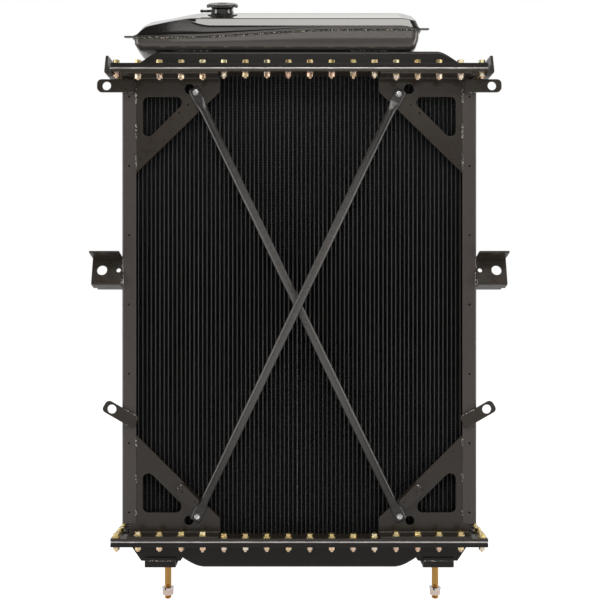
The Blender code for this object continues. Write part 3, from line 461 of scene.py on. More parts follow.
def bent(name, loops, thickness, path, place, finish, replaces):
    """A sheet cut flat from (u, v) outlines, then folded. place maps (u, a, b) to x, y, z."""
    bm = flat_sheet(loops, thickness, 0.8)
    for v in path.cuts():
        geometry = bm.verts[:] + bm.edges[:] + bm.faces[:]
        bmesh.ops.bisect_plane(bm, geom=geometry, plane_co=(0, v * MM, 0), plane_no=(0, 1, 0),
                               dist=0.000005)
    for vert in bm.verts:
        u, v, w = (c / MM for c in vert.co)
        point, angle = path.at(v)
        normal = Vector((-sin(angle), cos(angle)))
        a, b = point + normal * w
        vert.co = Vector(place(u, a, b)) * MM
    bmesh.ops.recalc_face_normals(bm, faces=bm.faces)
    return new_piece(name, bm, finish, replaces, smooth=40, flat=True)


def loft(rings, cap_first=True, cap_last=True):
    """A surface through closed rings of equal point counts."""
    bm = bmesh.new()
    loops = [[bm.verts.new(Vector(point) * MM) for point in ring] for ring in rings]
    for low, high in zip(loops, loops[1:]):
        count = len(low)
        for i in range(count):
            j = (i + 1) % count
            bm.faces.new((low[i], low[j], high[j], high[i]))
    if cap_first:
        bm.faces.new(loops[0][::-1])
    if cap_last:
        bm.faces.new(loops[-1])
    bmesh.ops.recalc_face_normals(bm, faces=bm.faces)
    return bm


def joined_round(rings):
    """A loft that closes on itself, with its last ring the same as its first."""
    bm = loft(rings, cap_first=False, cap_last=False)
    bmesh.ops.remove_doubles(bm, verts=bm.verts, dist=0.000002)
    bmesh.ops.recalc_face_normals(bm, faces=bm.faces)
    return bm


def lathe(profile, centre, steps=48, wobble=None):
    """A closed (radius, height) profile turned about Z; wobble(angle, r, h) may change r."""
    rings = []
    for i in range(steps):
        angle = 2 * pi * i / steps
        ring = []
        for r, h in profile:
            r = wobble(angle, r, h) if wobble else r
            ring.append((centre[0] + r * cos(angle), centre[1] + r * sin(angle), centre[2] + h))
        rings.append(ring)
    return joined_round(rings + rings[:1])


def join_all(parts):
    """One bmesh from several, which are freed."""
    whole = bmesh.new()
    for part in parts:
        mesh = bpy.data.meshes.new("part")
        part.to_mesh(mesh)
        part.free()
        whole.from_mesh(mesh)
        bpy.data.meshes.remove(mesh)
    return whole


# Fasteners, each built standing on z = 0 and growing to +Z, in millimetres


def ring_stack(rows, steps=24):
    """Rings of (radius(angle), height(angle)) rows joined up and closed at both ends."""
    rings = []
    for radius, height in rows:
        ring = []
        for i in range(steps):
            angle = 2 * pi * (i + 0.5) / steps
            r = radius(angle) if callable(radius) else radius
            h = height(angle) if callable(height) else height
            ring.append((r * cos(angle), r * sin(angle), h))
        rings.append(ring)
    return loft(rings)


def hexagon(flats, low, high, chamfer_low=False):
    """A hexagon with a chamfered, slightly dished top, and a chamfered foot if asked."""
    half = flats / 2
    corner = half / cos(radians(30))
    limit = half * 0.985

    def side(angle):
        return half / cos((angle % radians(60)) - radians(30))

    def drop(angle):
        return max(0.0, side(angle) - limit) * 0.58

    rows = []
    if chamfer_low:
        rows += [(limit * 0.94, low), (lambda a: min(side(a), limit), low),
                 (side, lambda a: low + drop(a))]
    else:
        rows += [(side, low)]
    rows += [(side, lambda a: high - drop(a)), (lambda a: min(side(a), limit), high)]
    rows += [(corner * 0.62, high), (corner * 0.55, high - 0.35)]
    return ring_stack(rows, 36)


def washer(inner, outer, low, high):
    soft = (high - low) * 0.2
    profile = [(inner, low), (outer - soft, low), (outer, low + soft), (outer, high - soft),
               (outer - soft, high), (inner, high)]
    return lathe(profile, (0, 0, 0), steps=24)


def split_ring(inner, outer, low, high, gap=14.0, lift=0.5, steps=30):
    """A spring lock washer: a square ring cut through, with its ends sprung apart."""
    rings = []
    for i in range(steps + 1):
        share = i / steps
        angle = radians(gap / 2 + (360 - gap) * share)
        rise = lift * (share - 0.5)
        c, s = cos(angle), sin(angle)
        ring = [(inner, low + rise), (outer, low + rise + 0.15), (outer, high + rise - 0.15),
                (inner, high + rise)]
        rings.append([(r * c, r * s, h) for r, h in ring])
    return loft(rings)


def threaded(radius, low, high, pitch=1.6, depth=0.5, steps=16):
    """A threaded end as close ridges, with a chamfered tip at high."""
    rows = [(radius - depth, low)]
    h = low
    while h + pitch < high - 0.8:
        rows += [(radius - depth, h + pitch * 0.1), (radius, h + pitch * 0.45),
                 (radius, h + pitch * 0.6), (radius - depth, h + pitch * 0.95)]
        h += pitch
    rows += [(radius - depth * 0.6, high - 0.7), (radius - depth * 1.8, high)]
    return ring_stack(rows, steps)


def bolt_x(number):
    return (number + 0.5) * BOLT_PITCH


def bolt_places():
    """(x, y, on_gusset) of every flange bolt."""
    edge_y = 1.5 * BOLT_PITCH
    places = []
    for number in range(LAST_BOLT + 1):
        for side in (-1, 1):
            places.append((side * bolt_x(number), edge_y, False))
            places.append((side * bolt_x(number), -edge_y, number in GUSSET_BOLTS))
    for side in (-1, 1):
        places += [(side * bolt_x(LAST_BOLT), y, False) for y in (-BOLT_PITCH / 2, BOLT_PITCH / 2)]
    return places


def set_down(part, x, y, z, upward=True):
    """Turns a fastener by a random amount, tips it a little and sets it in place."""
    flip = Matrix.Identity(4) if upward else Matrix.Rotation(pi, 4, "X")
    tip = Matrix.Rotation(radians(RNG.uniform(-0.8, 0.8)), 4, "Y")
    turn = Matrix.Rotation(RNG.uniform(0, pi / 3), 4, "Z")
    return moved(part, shift(x, y, z) @ tip @ flip @ turn)


def build_flange_bolts():
    groups = {"top_bolt_heads": [], "top_bolt_nuts": [], "bottom_bolt_heads": [],
              "bottom_bolt_nuts": []}
    for x, y, on_gusset in bolt_places():
        jog = RNG.uniform(-0.4, 0.4)
        clamped = GAP + GUSSET_T if on_gusset else 0.0

        def put(group, part, z):
            groups[group].append(set_down(part, x + jog, y, z, group.endswith("heads")))

        put("top_bolt_heads", washer(4.9, 8.4, 0.05, 1.3), HIGH_FLANGE[1])
        put("top_bolt_heads", hexagon(FLATS, 1.3, 9.2), HIGH_FLANGE[1])
        under = HIGH_RING[0] - clamped
        put("top_bolt_nuts", split_ring(4.9, 8.6, 0.2, 2.4), under)
        put("top_bolt_nuts", hexagon(FLATS, 2.4, 10.4, True), under)
        end = 14.2 + RNG.uniform(-0.6, 0.6) - (1.3 if on_gusset else 0.0)
        put("top_bolt_nuts", threaded(4.0, 9.0, end), under)
        over = LOW_RING[1] + clamped
        put("bottom_bolt_heads", washer(4.9, 9.8, 0.05, 1.9), over)
        put("bottom_bolt_heads", washer(4.9, 8.7, 2.1, 3.4), over)
        put("bottom_bolt_heads", hexagon(FLATS - 0.8, 3.4, 10.2), over)
        put("bottom_bolt_nuts", split_ring(4.9, 8.0, 0.2, 2.0), LOW_FLANGE[0])
        put("bottom_bolt_nuts", hexagon(FLATS - 0.6, 2.0, 8.6, True), LOW_FLANGE[0])
        end = 13.2 + RNG.uniform(-0.8, 0.8)
        put("bottom_bolt_nuts", threaded(4.0, 7.5, end), LOW_FLANGE[0])
    for name, parts in groups.items():
        finish = "rose" if name.endswith("nuts") else "gold"
        new_piece(name, join_all(parts), finish, smooth=32)


# Joint plates and core


def build_joints():
    edge = rectangle(FLANGE_X, FLANGE_Y, 2.5)
    window = rectangle(421.0, 46.0, 3)
    tank_window = rectangle(380.0, 50.0, 10)
    low_window = rectangle(320.0, 50.0, 10)
    small = rectangle(FLANGE_X - 0.6, FLANGE_Y - 0.6, 2.5)
    for level, opening, flange, ring, gasket in (
            ("top", tank_window, HIGH_FLANGE, HIGH_RING, (1182.1, 1184.9)),
            ("bottom", low_window, LOW_FLANGE, LOW_RING, (62.1, 64.9))):
        plate(level + "_flange_plate", [edge, opening], *flange, "tank", "tank_paint",
              [level + "_tank_flange"], 0.9)
        plate(level + "_ring_plate", [edge, window], *ring, "frame", "frame_paint",
              [level + "_backing_ring"], 0.9)
        plate(level + "_gasket_sheet", [small, opening], *gasket, "rubber", "gasket_rubber",
              [level + "_gasket"], 0.5)


def build_core():
    """Flat tubes with round noses, folded fins between them, and both header plates."""
    places = [(i - (TUBE_COUNT - 1) / 2) * TUBE_PITCH for i in range(TUBE_COUNT)]
    half, deep = 1.1, 33.0
    tubes = []
    for x in places:
        lean = RNG.uniform(-0.25, 0.25)
        nose = RNG.uniform(-0.35, 0.35)
        section = []
        for k in range(7):
            angle = pi * (k / 6)
            section.append((-half * cos(angle), -deep + nose - 1.3 * sin(angle)))
        section += [(u, -v) for u, v in reversed(section)]
        rings = [[(x + lean * sin(z / 390.0 + x) + u, v, z) for u, v in section]
                 for z in np.linspace(LOW_HEADER[1] - 1, HIGH_HEADER[0] + 1, 9)]
        tubes.append(loft(rings, cap_first=False, cap_last=False))
    new_piece("core_tube_rows", join_all(tubes), "tube", smooth=60)

    sheets = []
    for low, high in (LOW_HEADER, HIGH_HEADER):
        sheet = flat_sheet([rectangle(FLANGE_X + 0.4, FLANGE_Y + 0.4, 2.5)], high - low, 0.6)
        bmesh.ops.translate(sheet, verts=sheet.verts, vec=(0, 0, high * MM))
        sheets.append(sheet)
    new_piece("header_plates", join_all(sheets), "header", ["core_tubes"])

    fin_pitch, fin_deep, foil = 3.1, 30.5, 0.25
    gap_half = TUBE_PITCH / 2 - half - 0.02
    low, high = LOW_HEADER[1] + 3.0, HIGH_HEADER[0] - 3.0
    folds = int((high - low) / fin_pitch)
    step = (high - low) / folds
    columns = [x + TUBE_PITCH / 2 for x in places[:-1]]
    columns = [places[0] - TUBE_PITCH / 2 + 0.6] + columns + [places[-1] + TUBE_PITCH / 2 - 0.6]
    across = np.array([-1.0, 1.0])
    verts, faces = [], []
    for x in columns:
        phase = RNG.random()
        first = len(verts)
        for k in range(folds + 1):
            z = low + step * k + 0.35 * sin(k * 0.13 + phase * 6)
            for rise, sides in ((-0.32, across), (0.32, across[::-1])):
                side = sides[0] if k % 2 == 0 else sides[1]
                for y in (-fin_deep, fin_deep):
                    verts.append(((x + side * gap_half * (0.96 if rise < 0 else 1.0)) * MM, y * MM,
                                  (z + rise * step) * MM))
        for k in range(2 * (folds + 1) - 1):
            a = first + 2 * k
            faces.append((a, a + 1, a + 3, a + 2))
        # Painted shade: flat sheets of fin black across each fin column stand in for the shade deep
        # inside the core, so the backdrop does not show through.
        for y in (-9.0, 9.0):
            count = len(verts)
            verts += [((x + side * gap_half) * MM, y * MM, z * MM)
                      for side, z in ((-1, low), (1, low), (1, high), (-1, high))]
            faces.append(tuple(range(count, count + 4)))
    mesh = bpy.data.meshes.new("folded_fins")
    mesh.from_pydata(verts, [], faces)
    fins = new_piece("folded_fins", mesh, "fin", ["fin_block"], smooth=20)
    thin = fins.modifiers.new("foil", "SOLIDIFY")
    thin.thickness = foil * MM
    thin.offset = 0.0


# Frame of the radiator


def softened(node, finish, width):
    """Stands for a CAD node: its shape with flat faces merged and its sharp edges eased."""
    bm = bmesh.new()
    bm.from_mesh(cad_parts[node].data)
    bmesh.ops.remove_doubles(bm, verts=bm.verts, dist=0.00002)
    bmesh.ops.dissolve_limit(bm, angle_limit=radians(0.7), verts=bm.verts, edges=bm.edges)
    sharp = [e for e in bm.edges if len(e.link_faces) == 2 and e.calc_face_angle() > 0.6]
    bmesh.ops.bevel(bm, geom=sharp, offset=width * MM, offset_type="OFFSET", segments=2,
                    profile=0.6, affect="EDGES", clamp_overlap=True)
    return new_piece(node + "_shaped", bm, finish, [node], smooth=40, flat=True)


def weld_bead(points, radius, outward, seed):
    """A lumpy half-round bead along points, rippled across like hand welding."""
    local = random.Random(seed)
    path = [Vector(p) for p in points]
    spans = [(b - a).length for a, b in zip(path, path[1:])]
    total = sum(spans)
    count = max(6, int(total / 0.9))
    outward = Vector(outward).normalized()
    rings, sunk = [], 0.25
    phase = local.random() * 6
    for k in range(count + 1):
        s = total * k / count
        rest, i = s, 0
        while i < len(spans) - 1 and rest > spans[i]:
            rest -= spans[i]
            i += 1
        point = path[i].lerp(path[i + 1], rest / spans[i])
        ahead = (path[i + 1] - path[i]).normalized()
        aside = ahead.cross(outward).normalized()
        end = min(1.0, 0.35 + s / (2.2 * radius), 0.35 + (total - s) / (2.2 * radius))
        ripple = 1.0 + 0.13 * sin(s * 2.2 + phase) + local.uniform(-0.10, 0.10)
        size = radius * end * ripple
        wander = aside * local.uniform(-0.12, 0.12) * radius
        ring = []
        for j in range(9):
            angle = pi * j / 8
            reach = aside * (cos(angle) * size * 1.15)
            rise = outward * (sin(angle) * size * 0.8 - sunk)
            ring.append(point + wander + reach + rise)
        rings.append([tuple(p) for p in ring])
    return loft(rings)


def welds(name, beads, finish="weld"):
    parts = [weld_bead(points, radius, outward, 100 + i)
             for i, (points, radius, outward) in enumerate(beads)]
    return new_piece(name, join_all(parts), finish, smooth=80)


def build_gussets():
    path = FoldPath((-48.0, 0.0), 90, [("line", 1165.0), ("arc", 3.0, 90), ("line", 37.5)])
    tip = path.knots[-1][0]
    for side, sign in SIDES.items():
        top = [(-407, 1160.4, 1), (-390.6, 1160.4, 0), (-390.6, 940, 0), (-387.7, 942.9, 0),
               (-190.5, 1134.8, 5), (-190.5, tip, 3), (-407, tip, 3)]
        cut_out = [(-375, 1122, 13), (-262, 1122, 13), (-375, 1009, 13)]
        holes = [circle(-262.6, 1141.3, 12)]
        holes += [circle(x, z, 2.0, 12) for x, z in ((-266.7, 1102.7), (-288.2, 1083.5))]
        low = [(-407, 1147.9, 1), (-390.6, 1147.9, 0), (-390.6, 935, 0), (-190.5, 1133.8, 5),
               (-190.5, tip, 3), (-407, tip, 3)]
        low_out = [(-375.5, 1120.7, 14), (-262, 1120.7, 14), (-375.5, 1007, 14)]
        for level, outline, opening, round_holes, turn in (
                ("top", top, cut_out, holes, lambda z: z),
                ("bottom", low, low_out, [circle(-264.8, 1140.0, 10.8)], lambda z: 1247.0 - z)):
            loops = [[(-sign * u, v) for u, v in rounded(outline)],
                     [(-sign * u, v) for u, v in rounded(opening)]]
            loops += [[(-sign * u, v) for u, v in hole] for hole in round_holes]
            bent(f"gusset_plate_{level}_{side}", loops, GUSSET_T, path,
                 lambda u, y, z, turn=turn: (u, y, turn(z)), "frame",
                 [f"gusset_{level}_{side}"])


def build_frame():
    for side, sign in SIDES.items():
        softened("side_channel_" + side, "channel", 0.5)
        for node in ("end_plate_", "side_bracket_", "lower_clip_", "top_mount_tab_",
                     "lower_mount_tab_"):
            softened(node + side, "frame", 0.7)
        softened("foot_bracket_" + side, "tank", 0.7)
        softened("surge_saddle_" + side, "surge", 0.5)
        beads = []
        face, seam = -48.6, sign * 390.9
        for z0, z1 in ((1106, 1147), (1022, 1058), (948, 986), (283, 304), (198, 222), (116, 134)):
            beads.append(([(seam, face + 0.4, z0), (seam, face + 0.4, z1)], 2.1, (0, -1, 0)))
        beads.append(([(sign * 396, -49.0, 1163.0), (sign * 418, -49.0, 1163.0)], 1.8,
                      (0, -1, -0.2)))
        slope = Vector((sign * cos(radians(30)), 0, sin(radians(30))))
        across = Vector((-sign * sin(radians(30)), 0, cos(radians(30))))
        tip = Vector((sign * 465.7, -53.0, 385.0))
        for off, start, end in ((14.6, 82, 46), (-14.6, 74, 62)):
            a, b = (tip - slope * s + across * off for s in (start, end))
            beads.append(([tuple(a), tuple(b)], 1.9, (0, -1, 0.5 if off > 0 else -0.5)))
        for z, rise in ((1163.4, 0.4), (1132.0, -0.4)):
            beads.append(([(sign * x, -50.2, z) for x in (396, 424)], 1.5, (0, -1, rise)))
        lean = Vector((sign * cos(radians(45.5)), 0, sin(radians(45.5))))
        clip = Vector((sign * 266.0, -50.5, 167.5)) + lean * 28
        side_step = Vector((-lean.z, 0, lean.x)) * 8
        tack = [tuple(clip - side_step), tuple(clip + lean * 2), tuple(clip + side_step)]
        welds("clip_welds_" + side, [(tack, 2.8, (0, -1, 0))], finish="sealer")
        beads.append(([(sign * 425.0, -36, z) for z in (712, 738)], 2.0, (sign, -1, 0)))
        beads.append(([(sign * 424.0, -47, z) for z in (668, 690, 714)], 2.6, (sign * 0.3, -1, 0)))
        beads.append(([(sign * 452.0, y, 1193.4) for y in (-60, -30)], 1.6, (-sign, 0, 1)))
        welds("frame_welds_" + side, beads)

        foot = []
        for y in (-64.2, 64.2):
            out = copysign(1, y)
            foot.append(([(sign * x, y, z) for x, z in ((402, 52.8), (372, 53.0), (318, 53.0),
                                                        (264, 52.8))], 1.9, (0, out, -0.4)))
            foot.append(([(sign * x, y + 3.6 * out, 16) for x in (366, 295)], 1.4, (0, out, -0.6)))
        welds("foot_welds_" + side, foot)


def build_braces():
    """Tubes with flattened ends, each with a smooth swage from the flat to the round."""
    tab_y, tube_y = BRACE_BACK_Y - 2.0, BRACE_BACK_Y - 7.0
    for name, low_end, high_end, bow in (("brace_front", "bottom_left", "top_right", -9.0),
                                         ("brace_rear", "bottom_right", "top_left", 6.0)):
        low, high = (Vector((x, 0, z)) for x, z in (BRACE_ENDS[low_end], BRACE_ENDS[high_end]))
        length = (high - low).length
        knots = [(-13.6, 23.6, 3.0, tab_y, 9), (-13.0, 24.6, 4, tab_y, 9), (-9, 25, 4, tab_y, 9),
                 (14, 25, 4, tab_y, 9), (19, 24.8, 4.6, tab_y - 0.2, 7),
                 (26, 24, 7.2, tab_y - 1.4, 4), (33, 22.4, 10.6, tab_y - 3.0, 2.7),
                 (40, 21, 13.0, tube_y + 0.4, 2.2), (48, 20.2, 13.9, tube_y, 2.0)]
        stations = list(knots)
        for k in range(1, 46):
            along = 48 + (length - 96) * k / 46
            sway = bow * sin(pi * along / length) ** 2
            dent = 0.35 * sin(along * 0.021 + bow) * sin(pi * along / length)
            stations.append((along, 20 + dent, 14 - dent, tube_y + sway, 2.0))
        stations += [(length - along, *rest) for along, *rest in reversed(knots)]
        rings = []
        for along, width, depth, y, power in stations:
            ring = []
            for i in range(36):
                angle = 2 * pi * (i + 0.5) / 36
                c, s = cos(angle), sin(angle)
                reach = width / 2 * copysign(abs(c) ** (2 / power), c)
                front = depth / 2 * copysign(abs(s) ** (2 / power), s)
                if power > 6:  # the flattened ends keep a sheared, sloping edge
                    front = max(front, (abs(reach) - width / 2 + 1.8) * 0.7 - depth / 2)
                ring.append((reach, y + front, along))
            rings.append(ring)
        turn = atan2(high.x - low.x, high.z - low.z)
        tube = moved(loft(rings), shift(*low) @ Matrix.Rotation(turn, 4, "Y"))
        new_piece(name + "_tube", tube, "brace", [name], smooth=50)
    face, back = BRACE_BACK_Y - 4.3, -43.3
    for corner, (x, z) in BRACE_ENDS.items():
        head = join_all([hexagon(12.7, 0.3, 6.3), washer(4.6, 6.9, 0, 0.5)])
        nut = join_all([hexagon(FLATS, 0, 5.5, True), threaded(4.0, 0, 7.0)])
        for part, low, facing, name in ((head, face, 1, "bolt"), (nut, back, -1, "nut")):
            set_down(part, 0, 0, 0)
            moved(part, shift(x, low, z) @ Matrix.Rotation(radians(90 * facing), 4, "X"))
            new_piece(f"brace_{name}_shaped_{corner}", part, "silver",
                      [f"brace_{name}_{corner}"], smooth=32)


# Tanks


def smooth_step(t):
    t = min(1.0, max(0.0, t))
    return t * t * (3 - 2 * t)


def build_tank(name, node, flat, end, crown, rim, radius):
    """A header tank: flat crown, soft S-shaped ends, and rolled long edges."""
    xs = [flat + (end - flat) * smooth_step(i / 26) ** 0.9 for i in range(27)]
    xs = [-x for x in reversed(xs)] + [flat * k / 8 for k in range(-7, 8)] + xs
    toward = 1 if crown > rim else -1
    rings = []
    for x in xs:
        level = crown + (rim - crown) * smooth_step((abs(x) - flat) / (end - flat))
        tall = max(0.6, abs(level - rim))
        roll = min(radius, tall * 0.95)
        ring = [(x, -TANK_Y, rim)]
        for k in range(9):
            angle = pi / 2 * k / 8
            ring.append((x, -TANK_Y + roll * (1 - cos(angle)),
                         rim + toward * (tall - roll * (1 - sin(angle)))))
        ring += [(x, -y, z) for _, y, z in reversed(ring)]
        rings.append(ring)
    new_piece(name, loft(rings), "tank", [node], smooth=50)


def hose_neck(name, node, port, mid, end_z):
    """A cast neck: a low wide opening at the tank wall that turns into a round hose end."""
    x, wall_z, wall_half = port
    stations = [(58.3, wall_z, 34, wall_half), (mid[0], mid[1], 33, mid[2]),
                (mid[0] + 17, (mid[1] + end_z) / 2, 29, 20), (112, end_z, 25.4, 25.4),
                (136, end_z, 25.4, 25.4), (139, end_z, 27, 27), (142, end_z, 25.4, 25.4),
                (150, end_z, 25.4, 25.4)]
    ys = [s[0] for s in stations]
    fine = sorted(set(list(np.linspace(58.3, 132, 26)) + list(np.linspace(134, 150, 22))))

    def value(y, column):
        i = max(k for k in range(len(ys) - 1) if ys[k] <= y + 1e-6)
        share = smooth_step((y - ys[i]) / (ys[i + 1] - ys[i]))
        return stations[i][column] + (stations[i + 1][column] - stations[i][column]) * share

    rings = []
    for inset, order in ((0.0, fine), (2.4, fine[::-1])):
        for y in order:
            z, half_x, half_z = (value(y, c) for c in (1, 2, 3))
            rings.append([(x + (half_x - inset) * cos(2 * pi * i / 48), y,
                           z + (half_z - inset) * sin(2 * pi * i / 48))
                          for i in range(48)])
    new_piece(name, joined_round(rings + rings[:1]), "tank", [node], smooth=45)


def build_tanks():
    build_tank("top_tank_pressing", "top_tank_shell", 328, 410, 1230.0, HIGH_FLANGE[1], 8.0)
    build_tank("bottom_tank_pressing", "bottom_tank_shell", 226, 350, -2.5, 53.9, 8.0)
    hose_neck("inlet_hose_neck", "inlet_neck", INLET, (68, 1218.5, 15.2), 1236.0)
    hose_neck("outlet_hose_neck", "outlet_neck", OUTLET, (68, 18.0, 15.5), 1.0)
    beads = []
    foot, under = HIGH_FLANGE[1] + 0.3, 53.6
    for y in (-58.3, 58.3):
        for reach, z, rise in ((404, foot, 0.9), (344, under, -0.9)):
            beads.append(([(x, y, z) for x in range(-reach, reach + 1, 8)], 2.0,
                          (0, copysign(1, y), rise)))
    for side in (-1, 1):
        for x, z, rise in ((407, foot, 0.8), (347, under, -0.8)):
            beads.append(([(side * x, y, z) for y in range(-56, 57, 8)], 1.8, (side, 0, rise)))
    for x, z, half in (INLET, OUTLET):
        ring = [(x + 34.2 * cos(a), 58.6, z + half * sin(a))
                for a in np.linspace(0, 2 * pi, 40)]
        beads.append((ring, 1.8, (0, 1, 0)))
    welds("tank_welds", beads)


def surge_seam(x):
    return 1264.0 + 18.5 * smooth_step((x + 300) / 420)


def crown_z(x, y):
    """Height of the sloping crown, which falls away toward the left end."""
    front = CREASE_Z - 22 * (1 - smooth_step((x - SURGE_LEFT) / 150))
    rear = RIDGE_Z - 20.5 * (1 - smooth_step((x + 385) / 160))
    return front + (rear - front) * (y + CROWN_HALF) / (2 * CROWN_HALF)


def dense_loop(x, y, radius):
    """A rounded rectangle with points close enough to follow the surge tank's curves."""
    long_side, short_side, corner = 110, 14, 10
    arcs = []
    for cx, cy, first in ((x[0], y[0], 180), (x[1], y[0], 270), (x[1], y[1], 0), (x[0], y[1], 90)):
        mid_x = cx + (radius if cx == x[0] else -radius)
        mid_y = cy + (radius if cy == y[0] else -radius)
        angles = [radians(first + 90 * k / corner) for k in range(corner + 1)]
        arcs.append([(mid_x + radius * cos(a), mid_y + radius * sin(a))
                     for a in angles])
    points = []
    for i, arc in enumerate(arcs):
        start, end = arc[-1], arcs[(i + 1) % 4][0]
        count = short_side if i % 2 else long_side
        points += arc + [tuple(a + (b - a) * k / count for a, b in zip(start, end))
                         for k in range(1, count)]
    return points


def pressing(rings, between):
    """Fills in rings of (x pair, y pair, radius, height) between the given ones, smoothly."""
    dense = []
    for (x, y, r, height), (x2, y2, r2, height2), steps in zip(rings, rings[1:], between):
        for k in range(steps):
            s = k / steps
            loop = dense_loop((x[0] + (x2[0] - x[0]) * s, x[1] + (x2[1] - x[1]) * s),
                              (y[0] + (y2[0] - y[0]) * s, y[1] + (y2[1] - y[1]) * s),
                              r + (r2 - r) * s)
            dense.append([(u, v, height(u, v) + (height2(u, v) - height(u, v)) * s)
                          for u, v in loop])
    x, y, r, height = rings[-1]
    dense.append([(u, v, height(u, v)) for u, v in dense_loop(x, y, r)])
    return dense


def relax(rings, first, last, times):
    """Rounds the creases between rings by averaging each with its neighbours."""
    for _ in range(times):
        kept = [ring[:] for ring in rings]
        for i in range(first, last):
            rings[i] = [tuple((a + 2 * b + c) / 4 for a, b, c in zip(p, q, s))
                        for p, q, s in zip(kept[i - 1], kept[i], kept[i + 1])]
    return rings


def sealer_run(left, right, y):
    """Beads of brushed sealer under the seam, in short lumpy runs."""
    loop = dense_loop((left - 0.6, right + 0.6), (-y - 0.6, y + 0.6), 18.6)
    run = [(u, v, surge_seam(u) - 4.2) for u, v in loop + loop[:1]]
    beads = []
    for start in range(0, len(run) - 1, 9):
        part = run[start:start + 10]
        mid = part[len(part) // 2]
        out = Vector((0, mid[1], 0)) if abs(mid[1]) > 44 else Vector((mid[0] + 54, 0, 0))
        beads.append((part, 2.0, out.normalized() + Vector((0, 0, -0.5))))
    return beads


def build_surge():
    left, right, y = SURGE_LEFT, SURGE_RIGHT, SURGE_Y
    lip = 3.5

    def inset(at_left, at_right, at_y, radius, height):
        return (left + at_left, right - at_right), (-y + at_y, y - at_y), radius, height

    def seam(lift):
        return lambda x, _: surge_seam(x) + lift

    def rim(up):
        """The lip along the seam, above it or below it, and the foot of the wall."""
        return [inset(-lip, -lip, -lip, 21, seam(0.2 * up)),
                inset(-lip, -lip, -lip, 21, seam(2.3 * up)), inset(0, 0, 0, 18, seam(2.5 * up))]

    def crown(lift):
        return lambda x, v: crown_z(x, v) + lift - 6.0 * smooth_step((x - right + 45) / 45)

    def shoulder(x, v):
        """Where the wall starts to lean back, which drops toward the left end."""
        top = crown(-2.0 - 15.5 * smooth_step((x + 290) / 80))(x, v)
        rise = smooth_step((x - left) / 50)
        return (surge_seam(x) + 5) * (1 - rise) + top * rise

    upper = rim(1) + [
        inset(7, 1, 0.3, 18, shoulder), inset(25, 8, 4.4, 20, crown(-1.2)),
        inset(33, 18, 7, 22, crown(-0.1)), inset(70, 60, y - 22, 12, crown(0))]
    rings = relax(pressing(upper, [2, 3, 6, 16, 4, 14]), 8, 34, 1)
    for i, ring in enumerate(rings[6:], 6):  # the front and back walls stand upright at the left
        wide = [v * (1.065 - 0.065 * smooth_step((u + 330) / 90)) for u, v, _ in ring]
        rings[i] = [(u, max(0.3 - y, min(y - 0.3, v)), z) for (u, _, z), v in zip(ring, wide)]
    shell = loft(rings, cap_first=False)
    bmesh.ops.triangulate(shell, faces=[f for f in shell.faces if len(f.verts) > 4])
    new_piece("surge_upper_pressing", shell, "surge", ["surge_tank_upper"],
              smooth=60)

    floor = SURGE_FLOOR
    lower = rim(-1) + [
        inset(1, 2, 0.3, 18, lambda x, _: floor + 0.5 * (surge_seam(x) - 2.5 - floor)),
        inset(5, 8, 3, 18, lambda x, _: floor + 8.0),
        inset(12, 18, 9, 17, lambda x, _: floor + 1.8), inset(24, 32, 20, 14, lambda x, _: floor)]
    rings = relax(pressing(lower, [2, 3, 8, 6, 5, 4]), 7, 26, 3)
    shell = loft(rings, cap_first=False)
    ears = []
    for x, inward in ((left, 1), (right, -1)):
        a, b = sorted((x - inward * 21, x + inward * 3))
        outline = rounded([(a, -65.3, 3), (b, -65.3, 3), (b, -54, 3), (a, -54, 3)])
        ear = flat_sheet([outline], 2.6, 0.5)
        bmesh.ops.translate(ear, verts=ear.verts, vec=(0, 0, (surge_seam(x) - 0.7) * MM))
        ears.append(ear)
    new_piece("surge_lower_pressing", join_all([shell] + ears), "surge_low",
              ["surge_tank_lower"], smooth=60)

    beads = sealer_run(left, right, y)
    for x in (-256.0, 166.0):
        for v in (-44.0, 44.0):
            beads.append(([(x - 46, v, 1234.6), (x - 12, v, 1234.3), (x + 15, v, 1234.7),
                           (x + 46, v, 1234.4)], 2.8, (0, copysign(1, v), 0.2)))
    welds("surge_welds", beads, "sealer")


# Filler neck, cap and small fittings


def nipple_shape(start, end, radius, bore):
    """A small hose nipple with a flared foot and a bead near its outer end."""
    start, end = Vector(start), Vector(end)
    length = (end - start).length
    k = radius / 3.2
    profile = [(bore, 0), (bore, length - 0.4), (bore + 0.3, length), (radius - 0.4, length),
               (radius, length - 0.5), (radius, length - 2.4), (radius + 0.5, length - 3.2),
               (radius + 0.8, length - 4.2), (radius + 0.5, length - 5.2), (radius, length - 6.0),
               (radius, 2.6 * k), (radius + 0.8 * k, 1.2 * k), (radius + 1.9 * k, 0.2),
               (bore + 0.2, 0)]
    made = lathe(profile, (0, 0, 0), steps=28)
    turn = (end - start).to_track_quat("Z", "Y").to_matrix().to_4x4()
    return moved(made, shift(*start) @ turn)


def leaned(shape):
    """Leans an upright part of the filler forward with the neck, square to the crown."""
    return moved(shape, LEAN)


